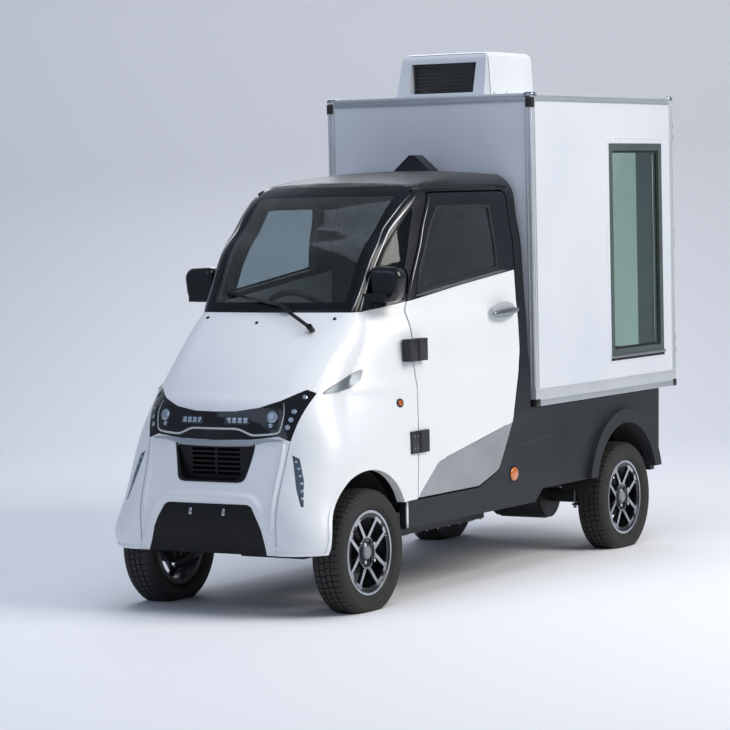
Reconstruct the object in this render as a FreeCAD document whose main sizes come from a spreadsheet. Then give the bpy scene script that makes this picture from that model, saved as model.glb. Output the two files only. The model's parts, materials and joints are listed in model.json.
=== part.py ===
import FreeCAD, Part
import math
import os
import Sketcher
from FreeCAD import Placement, Rotation, Vector

# Electric mini box truck: a narrow one-seat cab, a ladder chassis and an insulated box body.
# Frame: +X is the vehicle's left side, the front faces -Y, +Z is up.
# The origin is on the ground, under the middle of the vehicle's length and width.

doc = FreeCAD.newDocument("electric_mini_box_truck")
sheet = doc.addObject("Spreadsheet::Sheet", "Sizes")

# name, millimetres or degrees, what it sets
SIZES = (
    ("wheel_base", 2350, "front axle to rear axle"),
    ("front_overhang", 414, "nose to front axle"),
    ("cab_length", 1849, "nose to the cab's back"),
    ("cab_gap", 36, "cab back to box front"),
    ("box_length", 1474, "box body, without its hinges"),
    ("hinge_proud", 15, "rear door hinge barrels behind the box"),
    ("panel_wall", 36, "cab panels, doors and pillars"),
    ("glass_wall", 8, "window panes"),
    ("door_gap", 8, "all round each cab door"),
    ("belt_height", 1255, "top of the bonnet and of the fenders"),
    ("floor_height", 430, "underside of the cab floor, on the rails"),
    ("floor_wall", 30, "cab floor"),
    ("roof_height", 1849, "top of the cab roof"),
    ("roof_radius", 3700, "crown of the cab roof, both ways"),
    ("roof_seam_height", 1778, "drip line between roof and pillars"),
    ("sill_height", 450, "underside of the doors"),
    ("cladding_base", 330, "underside of the lower side panels"),
    ("cladding_wall", 30, "lower side panels"),
    ("cladding_face", 530, "outer face of the lower side panels from the middle"),
    ("arch_gap", 39, "tyre to front wheel arch, and the arches' centres above the axles"),
    ("rear_arch_gap", 56, "tyre to rear wheel arch"),
    ("flare_face", 562, "outer face of the rear arch flares from the middle"),
    ("flare_width", 66, "rear arch flares"),
    ("wheelhouse_inner", 262, "inner side of the front wheel space"),
    ("tyre_radius", 266, "tyres"),
    ("tyre_width", 145, "tyres"),
    ("rim_radius", 177, "outer lip of the wheels"),
    ("rim_width", 114, "wheels"),
    ("rim_wall", 9, "barrel of the wheels"),
    ("hub_bore", 24.4, "radius of the wheels' bores"),
    ("spindle_clearance", 0.4, "spindle in the wheel's bore"),
    ("front_wheel_x", 476, "middle of the front wheels"),
    ("rear_wheel_x", 486, "middle of the rear wheels"),
    ("brake_radius", 88, "brake drums"),
    ("rail_x", 220, "middle of the frame rails"),
    ("rail_width", 60, "frame rails"),
    ("rail_height", 100, "frame rails"),
    ("rail_base", 330, "underside of the frame rails"),
    ("cross_width", 60, "cross members"),
    ("kingpin_low_x", 425, "lower ball joint"),
    ("kingpin_drop", 81, "lower ball joint under the wheel's centre"),
    ("kingpin_top_x", 345, "top strut mount"),
    ("kingpin_rise", 384, "top strut mount above the wheel's centre"),
    ("strut_radius", 22, "strut tubes"),
    ("strut_rod_radius", 12, "strut rods"),
    ("ball_pin_radius", 10, "lower ball pins"),
    ("pin_clearance", 0.3, "pins and rods in their bores"),
    ("steer_arm", 100, "rack behind the front axle"),
    ("rack_drop", 31, "steering rack under the wheel's centre"),
    ("rack_radius", 12, "steering rack"),
    ("tie_rod_radius", 9, "tie rods"),
    ("tie_rod_end_x", 378, "open ends of the tie rods"),
    ("axle_radius", 35, "rear axle tube"),
    ("motor_radius", 112, "drive motor on the rear axle"),
    ("motor_length", 280, "drive motor on the rear axle"),
    ("spring_x", 330, "middle of the leaf springs"),
    ("spring_width", 55, "leaf springs"),
    ("spring_reach", 350, "axle to each spring eye"),
    ("spring_rise", 52, "spring eyes above the spring seat"),
    ("battery_length", 1250, "battery pack"),
    ("battery_height", 200, "battery pack"),
    ("wheel_column_height", 1190, "centre of the steering wheel"),
    ("wheel_column_reach", 784, "nose to the steering wheel"),
    ("column_angle", 35, "steering column above level"),
    ("steering_wheel_radius", 175, "steering wheel, to the rim's middle"),
    ("seat_width", 480, "driver's seat"),
    ("box_width", 1088, "box body"),
    ("box_base", 765, "underside of the box body"),
    ("box_height", 1426, "box body"),
    ("box_wall", 30, "box panels"),
    ("panel_recess", 3, "box panels behind the faces of their edge frame"),
    ("box_edge", 36, "corner posts and roof rails of the box"),
    ("box_rail", 78, "bottom rail of the box"),
    ("box_window_front", 776, "box front to its side windows"),
    ("box_window_rear", 128, "side windows to the box back"),
    ("box_window_sill", 182, "underside of the box to its windows"),
    ("box_window_head", 228, "windows to the top of the box"),
    ("rear_door_stile", 151, "rear door beside its window"),
    ("window_frame", 34, "aluminium frames of the box windows"),
    ("rear_door_gap", 7, "all round the rear door"),
    ("rear_door_wall", 32, "rear door"),
    ("unit_start", 120, "box front to the roof unit"),
    ("unit_length", 482, "roof unit"),
    ("unit_width", 470, "roof unit"),
    ("unit_height", 207, "roof unit"),
    ("lamp_band_base", 750, "lower edge of the lamp band, in the middle"),
    ("fascia_seam", 342, "seam between front fascia and fender, from the middle"),
    ("bonnet_seam", 386, "seam between bonnet and fender, from the middle"),
    ("screen_half_width", 372, "windscreen, from the middle"),
    ("screen_top", 1782, "upper edge of the windscreen"),
    ("rear_overhang", 426, "rear axle to the back of the rear bumper"),
    ("bumper_wall", 45, "rear bumper bar"),
    ("plate_hole_spacing", 164, "screw holes for a number plate"),
    ("plate_hole_radius", 3.2, "screw holes for a number plate"),
    ("plate_hole_height", 451, "screw holes for a number plate"),
)
for line, (name, value, meaning) in enumerate(SIZES, start=1):
    sheet.set(f"A{line}", name)
    sheet.set(f"B{line}", str(value))
    sheet.set(f"C{line}", meaning)
    sheet.setAlias(f"B{line}", name)
doc.recompute()


class Sizes:
    """The sheet's values, read back by name."""

    def __getattr__(self, name):
        return float(sheet.get(name))


size = Sizes()

# Places along the vehicle, as numbers and as the sheet's expressions
nose_y = -(size.cab_length + size.cab_gap + size.box_length + size.hinge_proud) / 2
front_axle_y = nose_y + size.front_overhang
rear_axle_y = front_axle_y + size.wheel_base
rear_axle_in = rear_axle_y - nose_y
tail_in = rear_axle_in + size.rear_overhang
cab_back_y = nose_y + size.cab_length
box_front_y = cab_back_y + size.cab_gap
box_back_y = box_front_y + size.box_length
arch_radius = size.tyre_radius + size.arch_gap
rear_arch_radius = size.tyre_radius + size.rear_arch_gap
arch_z = size.tyre_radius + size.arch_gap
kingpin_low_z = size.tyre_radius - size.kingpin_drop
kingpin_top_z = size.tyre_radius + size.kingpin_rise
rack_z = size.tyre_radius - size.rack_drop
NOSE = "(-(@cab_length + @cab_gap + @box_length + @hinge_proud) / 2)"
FRONT_AXLE = f"({NOSE} + @front_overhang)"
REAR_AXLE = f"({FRONT_AXLE} + @wheel_base)"
CAB_BACK = f"({NOSE} + @cab_length)"
BOX_FRONT = f"({CAB_BACK} + @cab_gap)"
BOX_BACK = f"({BOX_FRONT} + @box_length)"
BOX_TOP = "(@box_base + @box_height)"
RAIL_TOP = "(@rail_base + @rail_height)"
RAIL_INNER = "(@rail_x - @rail_width / 2)"
RAIL_OUTER = "(@rail_x + @rail_width / 2)"
TAIL = f"({REAR_AXLE} + @rear_overhang - @bumper_wall)"
KINGPIN_LOW = "(@tyre_radius - @kingpin_drop)"
KINGPIN_TOP = "(@tyre_radius + @kingpin_rise)"
RACK = "(@tyre_radius - @rack_drop)"

pieces = []


def keep(piece, label):
    """List a finished sub-part under its label."""
    piece.Label = label
    pieces.append(piece)
    return piece


def bind(piece, prop, text):
    """Tie one property to the sheet; @ stands for the sheet's name."""
    piece.setExpression(prop, text.replace("@", "Sizes."))


def block(name, xs, ys, zs):
    """A box between a low and a high expression along each axis."""
    box = doc.addObject("Part::Box", name)
    for side, axis, (low, high) in (("Length", "x", xs), ("Width", "y", ys), ("Height", "z", zs)):
        bind(box, side, f"({high}) - ({low})")
        bind(box, "Placement.Base." + axis, low)
    return box


def rod(name, radius, start, length, turn=None):
    """A cylinder from a start point of three expressions, along +Z unless it is turned."""
    bar = doc.addObject("Part::Cylinder", name)
    if turn:
        bar.Placement = Placement(Vector(), turn)
    bind(bar, "Radius", radius)
    bind(bar, "Height", length)
    for axis, text in zip("xyz", start):
        bind(bar, "Placement.Base." + axis, text)
    return bar


def fuse(name, members):
    """One solid of several document objects."""
    whole = doc.addObject("Part::MultiFuse", name)
    whole.Shapes = members
    whole.Refine = True
    return whole


def cut(name, base, tool):
    """A document object with another one taken out of it."""
    rest = doc.addObject("Part::Cut", name)
    rest.Base = base
    rest.Tool = tool
    return rest


def mirror(name, source):
    """The right-hand copy of a left-hand piece."""
    copy = doc.addObject("Part::Mirroring", name)
    copy.Source = source
    copy.Normal = Vector(1, 0, 0)
    return copy


def feature(name, shape):
    """A document object for a shape made with the Part functions."""
    piece = doc.addObject("Part::Feature", name)
    piece.Shape = shape
    return piece


def polygon(points):
    """A closed outline of straight edges."""
    return Part.makePolygon(list(points) + [points[0]])


def rounded(points, radii):
    """A closed outline with an arc of the given radius in each corner, none where it is zero."""
    count = len(points)
    edges = []
    joints = []
    for k, (corner, radius) in enumerate(zip(points, radii)):
        to_last = (points[k - 1] - corner).normalize()
        to_next = (points[(k + 1) % count] - corner).normalize()
        half = to_last.getAngle(to_next) / 2
        start = corner + to_last * (radius / math.tan(half))
        end = corner + to_next * (radius / math.tan(half))
        joints.append((start, end))
        if radius:
            middle = (to_last + to_next).normalize()
            edges.append(Part.Arc(start, corner + middle * (radius / math.sin(half) - radius), end).toShape())
    straights = [Part.makeLine(joints[k][1], joints[(k + 1) % count][0]) for k in range(count)]
    return Part.Wire(Part.__sortEdges__(edges + straights))


def outline_wire(rows, place):
    """A closed outline from rows of (across, height), where a third value is the corner's radius."""
    return rounded([place(row[0], row[1]) for row in rows], [sum(row[2:]) for row in rows])


def side_prism(outline, low_x, high_x, offset=0.0):
    """A side view outline of (behind the nose, height) rows, widened, between two X places."""
    face = Part.Face(outline_wire(outline, lambda behind, height: Vector(low_x, nose_y + behind, height)))
    if offset:
        face = Part.Face(face.makeOffset2D(offset, join=2).OuterWire)
    return face.extrude(Vector(high_x - low_x, 0, 0))


def front_prism(outline, low_behind, high_behind):
    """A front view outline of (x, height) rows between two distances behind the nose."""
    wire = outline_wire(outline, lambda x, height: Vector(x, nose_y + low_behind, height))
    return Part.Face(wire).extrude(Vector(0, high_behind - low_behind, 0))


def both_sides(half):
    """A whole front view outline from the left half's rows."""
    return list(half) + [(-row[0], *row[1:]) for row in reversed(half) if row[0] > 0]


def brick(x_range, behind_range, z_range):
    """A plain box, with its length given as distances behind the nose."""
    low = Vector(x_range[0], nose_y + behind_range[0], z_range[0])
    return Part.makeBox(x_range[1] - x_range[0], behind_range[1] - behind_range[0],
                        z_range[1] - z_range[0], low)


def both(shape):
    """A left-hand shape with its right-hand copy."""
    return Part.makeCompound([shape, shape.mirror(Vector(), Vector(1, 0, 0))])


# Far bounds of cutting forms, past anything in the cab
WIDE = 800.0
BEFORE = -60.0
FAR = 4000.0
ALONG_X = Rotation(Vector(0, 1, 0), 90)

# Cab skin: level sections, each half a bowed front, a round corner, a bowed flank and a straight end.
# height, nose (middle, behind the nose plane), corner start x and behind, corner end x and behind,
# flank x and behind, back x
LOWER_SECTIONS = (
    (290, 0, 350, 6, 527, 134, 532, 819, 528),
    (450, 6, 350, 10, 527, 174, 533, 819, 530),
    (565, 34, 350, 42, 524, 274, 538, 819, 532),
    (706, 70, 345, 94, 512, 324, 542, 819, 532),
    (805, 74, 320, 112, 480, 344, 542, 819, 531),
    (935, 129, 300, 174, 440, 404, 540, 819, 530),
)
UPPER_SECTIONS = (
    LOWER_SECTIONS[-1],
    (1055, 254, 290, 289, 430, 504, 525, 819, 522),
    (1170, 399, 320, 439, 425, 594, 516, 824, 517),
    (size.belt_height, 532, 355, 562, 392, 624, 488, 854, 510),
)
WINDOW_SECTION = (1483, 662, 350, 702, 405, 769, 476, 1024, 498)
HEAD_SECTION = (1692, 892, 350, 932, 418, 999, 455, 1274, 468)


def between(low, high, share):
    """A section part of the way from one row to another, which keeps a flat stretch flat."""
    return tuple(a + (b - a) * share for a, b in zip(low, high))


GREENHOUSE_SECTIONS = (
    UPPER_SECTIONS[-1],
    between(UPPER_SECTIONS[-1], WINDOW_SECTION, 0.33),
    between(UPPER_SECTIONS[-1], WINDOW_SECTION, 0.67),
    WINDOW_SECTION,
    between(WINDOW_SECTION, HEAD_SECTION, 0.5),
    HEAD_SECTION,
    (1762, 994, 345, 1039, 408, 1114, 440, 1374, 452),
    (1800, 1062, 330, 1114, 380, 1194, 410, 1424, 420),
    (1860, 1184, 260, 1244, 300, 1324, 310, 1474, 320),
)
CORNER_BULGE = 0.17
FLANK_BULGE = 0.03
BASE_HEIGHT = LOWER_SECTIONS[0][0]
CREASE_HEIGHT = LOWER_SECTIONS[-1][0]


def bulged(start, end, share):
    """An arc between two points of a section, bowed outwards by a share of its chord."""
    chord = end - start
    out = Vector(chord.y, -chord.x, 0) * share
    return Part.Arc(start, (start + end) / 2 + out, end).toShape()


def section(row, inset):
    """The closed outline of the cab at one height, set in from the outer skin."""
    z, nose, corner_x, corner_in, end_x, end_in, flank_x, flank_in, back_x = row
    corner = Vector(corner_x - 0.35 * inset, nose_y + corner_in + inset, z)
    end = Vector(end_x - 0.85 * inset, nose_y + end_in + 0.5 * inset, z)
    flank = Vector(flank_x - inset, nose_y + flank_in, z)
    back = Vector(back_x - inset, cab_back_y - inset, z)
    left = [bulged(corner, end, CORNER_BULGE), bulged(end, flank, FLANK_BULGE),
            Part.makeLine(flank, back)]
    flip = [Vector(-p.x, p.y, p.z) for p in (corner, end, flank, back)]
    right = [Part.makeLine(flip[3], flip[2]), bulged(flip[2], flip[1], FLANK_BULGE),
             bulged(flip[1], flip[0], CORNER_BULGE)]
    front = Part.Arc(flip[0], Vector(0, nose_y + nose + inset, z), corner).toShape()
    return Part.Wire([front] + left + [Part.makeLine(back, flip[3])] + right)


def loft(rows, inset):
    """A closed solid through level sections."""
    return Part.makeLoft([section(row, inset) for row in rows], True, False)


def roof_ball(inset):
    """The ball whose top is the crowned roof."""
    crown = Vector(0, nose_y + 0.9 * size.cab_length, size.roof_height - size.roof_radius)
    return Part.makeSphere(size.roof_radius - inset, crown)


def greenhouse(inset):
    """The cab above the belt line, under its crowned roof."""
    return loft(GREENHOUSE_SECTIONS, inset).common(roof_ball(inset))


cab_solids = [loft(LOWER_SECTIONS, 0), loft(UPPER_SECTIONS, 0), greenhouse(0)]
lower_skin = cab_solids[0].cut(loft(LOWER_SECTIONS, size.panel_wall))
upper_skin = cab_solids[1].cut(loft(UPPER_SECTIONS, size.panel_wall))
top_skin = cab_solids[2].cut(greenhouse(size.panel_wall))
top_pane = cab_solids[2].cut(greenhouse(size.glass_wall))
body_skin = lower_skin.fuse(upper_skin)


def skin_x(behind, height):
    """The outer skin's X at one place on the left flank."""
    band = 0 if height <= CREASE_HEIGHT else 1 if height <= size.belt_height else 2
    y = nose_y + behind
    line = Part.makeLine(Vector(0, y, height), Vector(WIDE, y, height))
    return cab_solids[band].common(line).BoundBox.XMax


# Outlines in the side view: behind the nose, height, corner radius where there is one
DOOR_OUTLINE = ((819, size.sill_height, 10), (819, 1240, 70), (941, 1455, 160), (1132, 1752, 24),
                (1776, 1752, 40), (1774, 1031, 150), (1682, 721, 150), (1542, 507, 70),
                (1357, size.sill_height, 70))
DOOR_GLASS_OUTLINE = ((930, 1326, 8), (991, 1453, 90), (1170, 1686, 20), (1612, 1684, 20), (1616, 1406, 12))
QUARTER_GLASS_OUTLINE = ((672, 1294, 6), (822, 1310, 8), (904, 1486), (1006, 1668, 4), (1000, 1688, 4),
                         (868, 1573, 160), (766, 1461, 160))
# The line up to which fenders and doors are white, and the black above it
BELT_LINE = ((620, size.belt_height), (836, size.belt_height + 33), (1289, size.belt_height + 88),
             (1790, size.belt_height + 141))
# Outlines in the front view, left half: x, height, corner radius where there is one
LAMP_BAND_HALF = ((0, size.lamp_band_base), (170, 754), (300, 768), (352, 748), (396, 938, 4),
                  (362, 953, 6), (286, 912), (203, 884), (100, 869), (0, 867))
GRILLE_HALF = ((0, 586), (148, 586, 34), (192, 737, 14), (0, 737))
INSERT_HALF = ((0, BASE_HEIGHT), (292, BASE_HEIGHT), (262, 404), (210, 493, 34), (0, 493))
CORNER_LAMP = ((366, 694), (396, 680, 4), (424, 596), (441, 488), (431, 490), (404, 560))

half_gap = size.door_gap / 2
door_space = side_prism(DOOR_OUTLINE, 0, WIDE, half_gap)
door_form = side_prism(DOOR_OUTLINE, 0, WIDE, -half_gap)
door_pane_form = side_prism(DOOR_GLASS_OUTLINE, 0, WIDE)
quarter_form = side_prism(QUARTER_GLASS_OUTLINE, 0, WIDE)
above_belt = side_prism(BELT_LINE + ((1790, FAR), (620, FAR)), -WIDE, WIDE)
arch_center = Vector(size.wheelhouse_inner, front_axle_y, arch_z)
arch_tool = Part.makeCylinder(arch_radius, WIDE, arch_center, Vector(1, 0, 0))
screen_form = front_prism(both_sides(((0, size.belt_height + 12),
                                      (size.screen_half_width - 12, size.belt_height + 12),
                                      (size.screen_half_width, size.screen_top),
                                      (0, size.screen_top))), 0, 0.6 * size.cab_length)
band_form = front_prism(both_sides(LAMP_BAND_HALF), BEFORE, 330)
grille_form = front_prism(both_sides(GRILLE_HALF), BEFORE, 330)
insert_form = front_prism(both_sides(INSERT_HALF), BEFORE, 200)
lamp_form = both(front_prism(CORNER_LAMP, BEFORE, 260))

# Front fascia: the white bumper moulding between the two fender seams
front_zone = brick((-size.fascia_seam, size.fascia_seam), (BEFORE, 400), (BASE_HEIGHT, 800))
fascia_shape = lower_skin.common(front_zone)
for tool in (band_form, grille_form, insert_form, lamp_form):
    fascia_shape = fascia_shape.cut(tool)
keep(feature("FrontFascia", fascia_shape), "front_fascia")

# Bumper insert with the two screw holes of the number plate
insert_shape = lower_skin.common(insert_form)
for side in (-1, 1):
    hole_x = side * size.plate_hole_spacing / 2
    insert_shape = insert_shape.cut(Part.makeCylinder(
        size.plate_hole_radius, 200, Vector(hole_x, nose_y - 10, size.plate_hole_height), Vector(0, 1, 0)))
keep(feature("BumperInsert", insert_shape), "bumper_insert")

# Lamp band: one dark lens and housing moulding from headlamp to headlamp
band_shape = body_skin.common(band_form)
keep(feature("LampBand", band_shape), "lamp_band")

# Grille: a recessed plate with level slots
GRILLE_BEHIND = 84
GRILLE_WALL = 14
SLOT_PITCH = 20
SLOT_HEIGHT = 11
SLOT_SPAN = (6, 118)
grille_shape = front_prism(both_sides(GRILLE_HALF), GRILLE_BEHIND, GRILLE_BEHIND + GRILLE_WALL)
slot_height = GRILLE_HALF[0][1] + SLOT_PITCH
while slot_height < GRILLE_HALF[-1][1] - SLOT_PITCH:
    slot = brick(SLOT_SPAN, (0, 200), (slot_height, slot_height + SLOT_HEIGHT))
    grille_shape = grille_shape.cut(both(slot))
    slot_height += SLOT_PITCH
keep(feature("Grille", grille_shape), "grille")

# Fenders: from the fascia seam round the corner to the door gap, with a rolled lip round the wheel arch
LIP_PROUD = 5
LIP_WIDTH = 15
fender_zone = brick((size.fascia_seam, WIDE), (BEFORE, 860), (BASE_HEIGHT, size.belt_height))
fender_top_zone = brick((size.bonnet_seam, WIDE), (BELT_LINE[0][0], 860), (size.belt_height, 1300))
fender_top_zone = fender_top_zone.cut(above_belt)
BONNET_HALF = ((0, 858), (205, 864), (300, 890), (size.bonnet_seam, 930),
               (size.bonnet_seam, size.belt_height), (0, size.belt_height))
bonnet_zone = front_prism(both_sides(BONNET_HALF), BEFORE, 819)
sill_zone = brick((0, WIDE), (size.front_overhang, FAR), (0, size.sill_height))
lip_ring = Part.makeCylinder(arch_radius + LIP_WIDTH, WIDE, arch_center, Vector(1, 0, 0))
lower_lip = brick((size.fascia_seam, WIDE), (BEFORE, size.front_overhang), (BASE_HEIGHT, BASE_HEIGHT + 11))
lip_ring = lip_ring.fuse(lower_lip)
lip_shape = loft(LOWER_SECTIONS, -LIP_PROUD).cut(cab_solids[0]).common(lip_ring)
fender_shape = body_skin.fuse(lip_shape).common(fender_zone).fuse(top_skin.common(fender_top_zone))
for tool in (bonnet_zone, band_form, lamp_form, arch_tool, sill_zone, door_space):
    fender_shape = fender_shape.cut(tool)
keep(feature("FrontFenders", both(fender_shape)), "front_fenders")

# Bonnet: one fixed moulding between lamp band and windscreen
bonnet_shape = body_skin.common(bonnet_zone).cut(band_form)
keep(feature("Bonnet", bonnet_shape), "bonnet")

# Corner lamps: upright lamps let into the front corners
corner_lamp_shape = lower_skin.common(lamp_form)
keep(feature("CornerLamps", corner_lamp_shape), "corner_lamps")

# Cab frame: pillars, windscreen and door surrounds and the rear wall, black
low_rear = brick((-WIDE, WIDE), (860, FAR), (754, size.belt_height))
inner_rear_x = size.cladding_face - size.cladding_wall
rear_wall = brick((-inner_rear_x, inner_rear_x), (size.cab_length - size.panel_wall - 2, FAR),
                  (size.sill_height, 754))
frame_shape = body_skin.common(low_rear).fuse(body_skin.common(rear_wall)).fuse(
    top_skin.common(brick((-WIDE, WIDE), (BEFORE, FAR), (size.belt_height, size.roof_seam_height))))
for tool in (both(door_space), screen_form, both(quarter_form), both(fender_top_zone)):
    frame_shape = frame_shape.cut(tool)
keep(feature("CabFrame", frame_shape), "cab_frame")

# Cab roof: the crowned black roof panel above the drip line, with its cowl at the back
FIN_HALF_WIDTH = 98
FIN_HEIGHT = 72
roof_zone = brick((-WIDE, WIDE), (BEFORE, FAR), (size.roof_seam_height, FAR))
roof_shape = top_skin.common(roof_zone).cut(screen_form)
fin_wire = polygon([Vector(x, nose_y + size.cab_length - 120, size.roof_height + z)
                    for x, z in ((-FIN_HALF_WIDTH, -22), (FIN_HALF_WIDTH, -22), (FIN_HALF_WIDTH - 6, 4),
                                 (14, FIN_HEIGHT), (-14, FIN_HEIGHT), (6 - FIN_HALF_WIDTH, 4))])
fin_shape = Part.Face(fin_wire).extrude(Vector(0, 80, 0))
roof_shape = roof_shape.fuse(fin_shape.cut(greenhouse(size.glass_wall)))
keep(feature("CabRoof", roof_shape), "cab_roof")

# Cab glass: the windscreen and the fixed quarter panes, each let into its opening
screen_shape = top_pane.common(screen_form)
quarter_shape = both(top_pane.common(quarter_form))
keep(feature("CabGlass", Part.makeCompound([screen_shape, quarter_shape])), "cab_glass")

# Doors: the white skin with hinge leaves and handle, and the black window frame with its pane
HINGE_HEIGHTS = (695, 1086)
HINGE_LEAF = (74, 95, 10)
HINGE_RADIUS = 9
hinge_behind = DOOR_OUTLINE[0][0]
hinge_x = skin_x(hinge_behind, HINGE_HEIGHTS[0]) + HINGE_RADIUS + 1
door_shape = body_skin.common(door_form).fuse(
    top_skin.common(door_form).cut(door_pane_form))
leaf_length, leaf_height, leaf_wall = HINGE_LEAF
fixed_leaves = []
for height in HINGE_HEIGHTS:
    low = height - leaf_height / 2
    high = height + leaf_height / 2
    door_side = skin_x(hinge_behind + leaf_length, height)
    door_shape = door_shape.fuse(brick((door_side - leaf_wall, hinge_x + 2),
                                       (hinge_behind + HINGE_RADIUS + size.pin_clearance,
                                        hinge_behind + leaf_length),
                                       (low, high)))
    seat_x = max(skin_x(hinge_behind - step, height + rise)
                 for step in (14, leaf_length) for rise in (-leaf_height / 2, 0, leaf_height / 2))
    leaf = brick((seat_x - leaf_wall, hinge_x + 2),
                 (hinge_behind - leaf_length, hinge_behind - HINGE_RADIUS + 2), (low, high))
    leaf = leaf.cut(loft(LOWER_SECTIONS, -size.pin_clearance)).cut(loft(UPPER_SECTIONS, -size.pin_clearance))
    barrel = Part.makeCylinder(HINGE_RADIUS, leaf_height, Vector(hinge_x, nose_y + hinge_behind, low))
    fixed_leaves.append(leaf.fuse(barrel))
HANDLE = ((1490, 1742), (1196, 1228))
handle_x = max(skin_x(behind, height) for behind in HANDLE[0] for height in HANDLE[1])
handle_low = min(skin_x(behind, height) for behind in HANDLE[0] for height in HANDLE[1])
door_shape = door_shape.fuse(brick((handle_low - 6, handle_x + 22), *HANDLE))
door_left = keep(feature("DoorLeft", door_shape.cut(above_belt)), "door_left")
keep(mirror("DoorRight", door_left), "door_right")
door_frame_left = keep(feature("DoorFrameLeft", door_shape.common(above_belt)), "door_frame_left")
keep(mirror("DoorFrameRight", door_frame_left), "door_frame_right")
door_glass_left = keep(feature("DoorGlassLeft", top_pane.common(door_pane_form)), "door_glass_left")
keep(mirror("DoorGlassRight", door_glass_left), "door_glass_right")
keep(feature("DoorHinges", both(Part.makeCompound(fixed_leaves))), "door_hinges")

# Garnishes: a pointed bright strip behind each headlamp, following the fender
GARNISH_OUTLINE = ((270, CREASE_HEIGHT + 3), (312, 958), (412, 991), (522, 1022, 4), (492, 980, 6),
                   (431, 950), (340, CREASE_HEIGHT + 3))
GARNISH_PROUD = 7
garnish_shape = loft(UPPER_SECTIONS, -GARNISH_PROUD).cut(loft(UPPER_SECTIONS, -size.pin_clearance))
garnish_shape = garnish_shape.common(side_prism(GARNISH_OUTLINE, 0, WIDE))
keep(feature("Garnishes", both(garnish_shape)), "side_garnishes")

# Lower side panels: sill, rear side and flared rear arch in one textured moulding
arch_rear = size.front_overhang + arch_radius - 1
CLADDING_OUTLINE = ((arch_rear, size.cladding_base), (arch_rear, size.sill_height),
                    (1280, size.sill_height), (1440, 507), (1560, 721), (1600, 754),
                    (size.cab_length, 754), (size.cab_length, size.box_base), (tail_in, size.box_base, 12),
                    (tail_in - 15, 400, 14), (tail_in - 80, 386), (rear_axle_in - 804, 386),
                    (rear_axle_in - 884, size.cladding_base))
inner_x = size.cladding_face - size.cladding_wall
rear_arch_center = Vector(inner_x, rear_axle_y, arch_z)
panel_shape = side_prism(CLADDING_OUTLINE, inner_x, size.cladding_face)
flare_disc = Part.makeCylinder(rear_arch_radius + size.flare_width, size.flare_face - inner_x,
                               rear_arch_center, Vector(1, 0, 0))
flare_zone = brick((0, WIDE), (rear_axle_in - 800, tail_in), (390, size.box_base))
panel_shape = panel_shape.fuse(flare_disc.common(flare_zone))
panel_shape = panel_shape.cut(Part.makeCylinder(rear_arch_radius, WIDE, rear_arch_center, Vector(1, 0, 0)))
panel_shape = panel_shape.cut(door_space).cut(arch_tool)
keep(feature("LowerSidePanels", both(panel_shape)), "lower_side_panels")

# Chassis: two rails, cross members, outriggers and spring hangers
rail_ends = (f"{NOSE} + @panel_wall + 60", TAIL)
left_members = [block("Rail", (RAIL_INNER, RAIL_OUTER), rail_ends, ("@rail_base", RAIL_TOP))]
# from, behind it, width
OUTRIGGERS = ((NOSE, 760, 60), (NOSE, 1320, 60), (REAR_AXLE, -804, 60), (REAR_AXLE, -454, 50),
              (REAR_AXLE, 276, 60))
for count, (place, behind, width) in enumerate(OUTRIGGERS):
    left_members.append(block(f"Outrigger{count}", (RAIL_INNER, "@cladding_face - @cladding_wall"),
                              (f"{place} + {behind}", f"{place} + {behind + width}"),
                              (f"{RAIL_TOP} - 35", RAIL_TOP)))
SPRING_SEAT = 5
EYE_PIN = 9
HANGER_REACH = 24
for count, sign in enumerate("-+"):
    eye_y = f"{REAR_AXLE} {sign} @spring_reach"
    eye_z = f"@tyre_radius + @axle_radius + {SPRING_SEAT} + @spring_rise"
    left_members.append(block(f"Hanger{count}", (RAIL_INNER, "@spring_x - @spring_width / 2 - 4"),
                              (f"{eye_y} - {HANGER_REACH}", f"{eye_y} + {HANGER_REACH}"),
                              (f"{eye_z} - {HANGER_REACH}", RAIL_TOP)))
    left_members.append(rod(f"EyePin{count}", f"{EYE_PIN}", (RAIL_OUTER, eye_y, eye_z),
                            f"@spring_x + @spring_width / 2 + 6 - {RAIL_OUTER}", ALONG_X))
left_frame = fuse("LeftFrame", left_members)
right_frame = mirror("RightFrame", left_frame)
BATTERY_START = f"({NOSE} + 760)"
BATTERY_END = f"({BATTERY_START} + @battery_length)"
CROSS_MEMBERS = (f"{NOSE} + 110", f"{BATTERY_START} - 100", f"{BATTERY_END} + 240",
                 f"{REAR_AXLE} - @motor_radius - 112", f"{REAR_AXLE} + 246")
cross_members = [block(f"CrossMember{count}", (f"-{RAIL_INNER}", RAIL_INNER),
                       (start, f"{start} + @cross_width"), ("@rail_base + 10", f"{RAIL_TOP} - 10"))
                 for count, start in enumerate(CROSS_MEMBERS)]
keep(fuse("ChassisFrame", [left_frame, right_frame] + cross_members), "chassis_frame")

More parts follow.
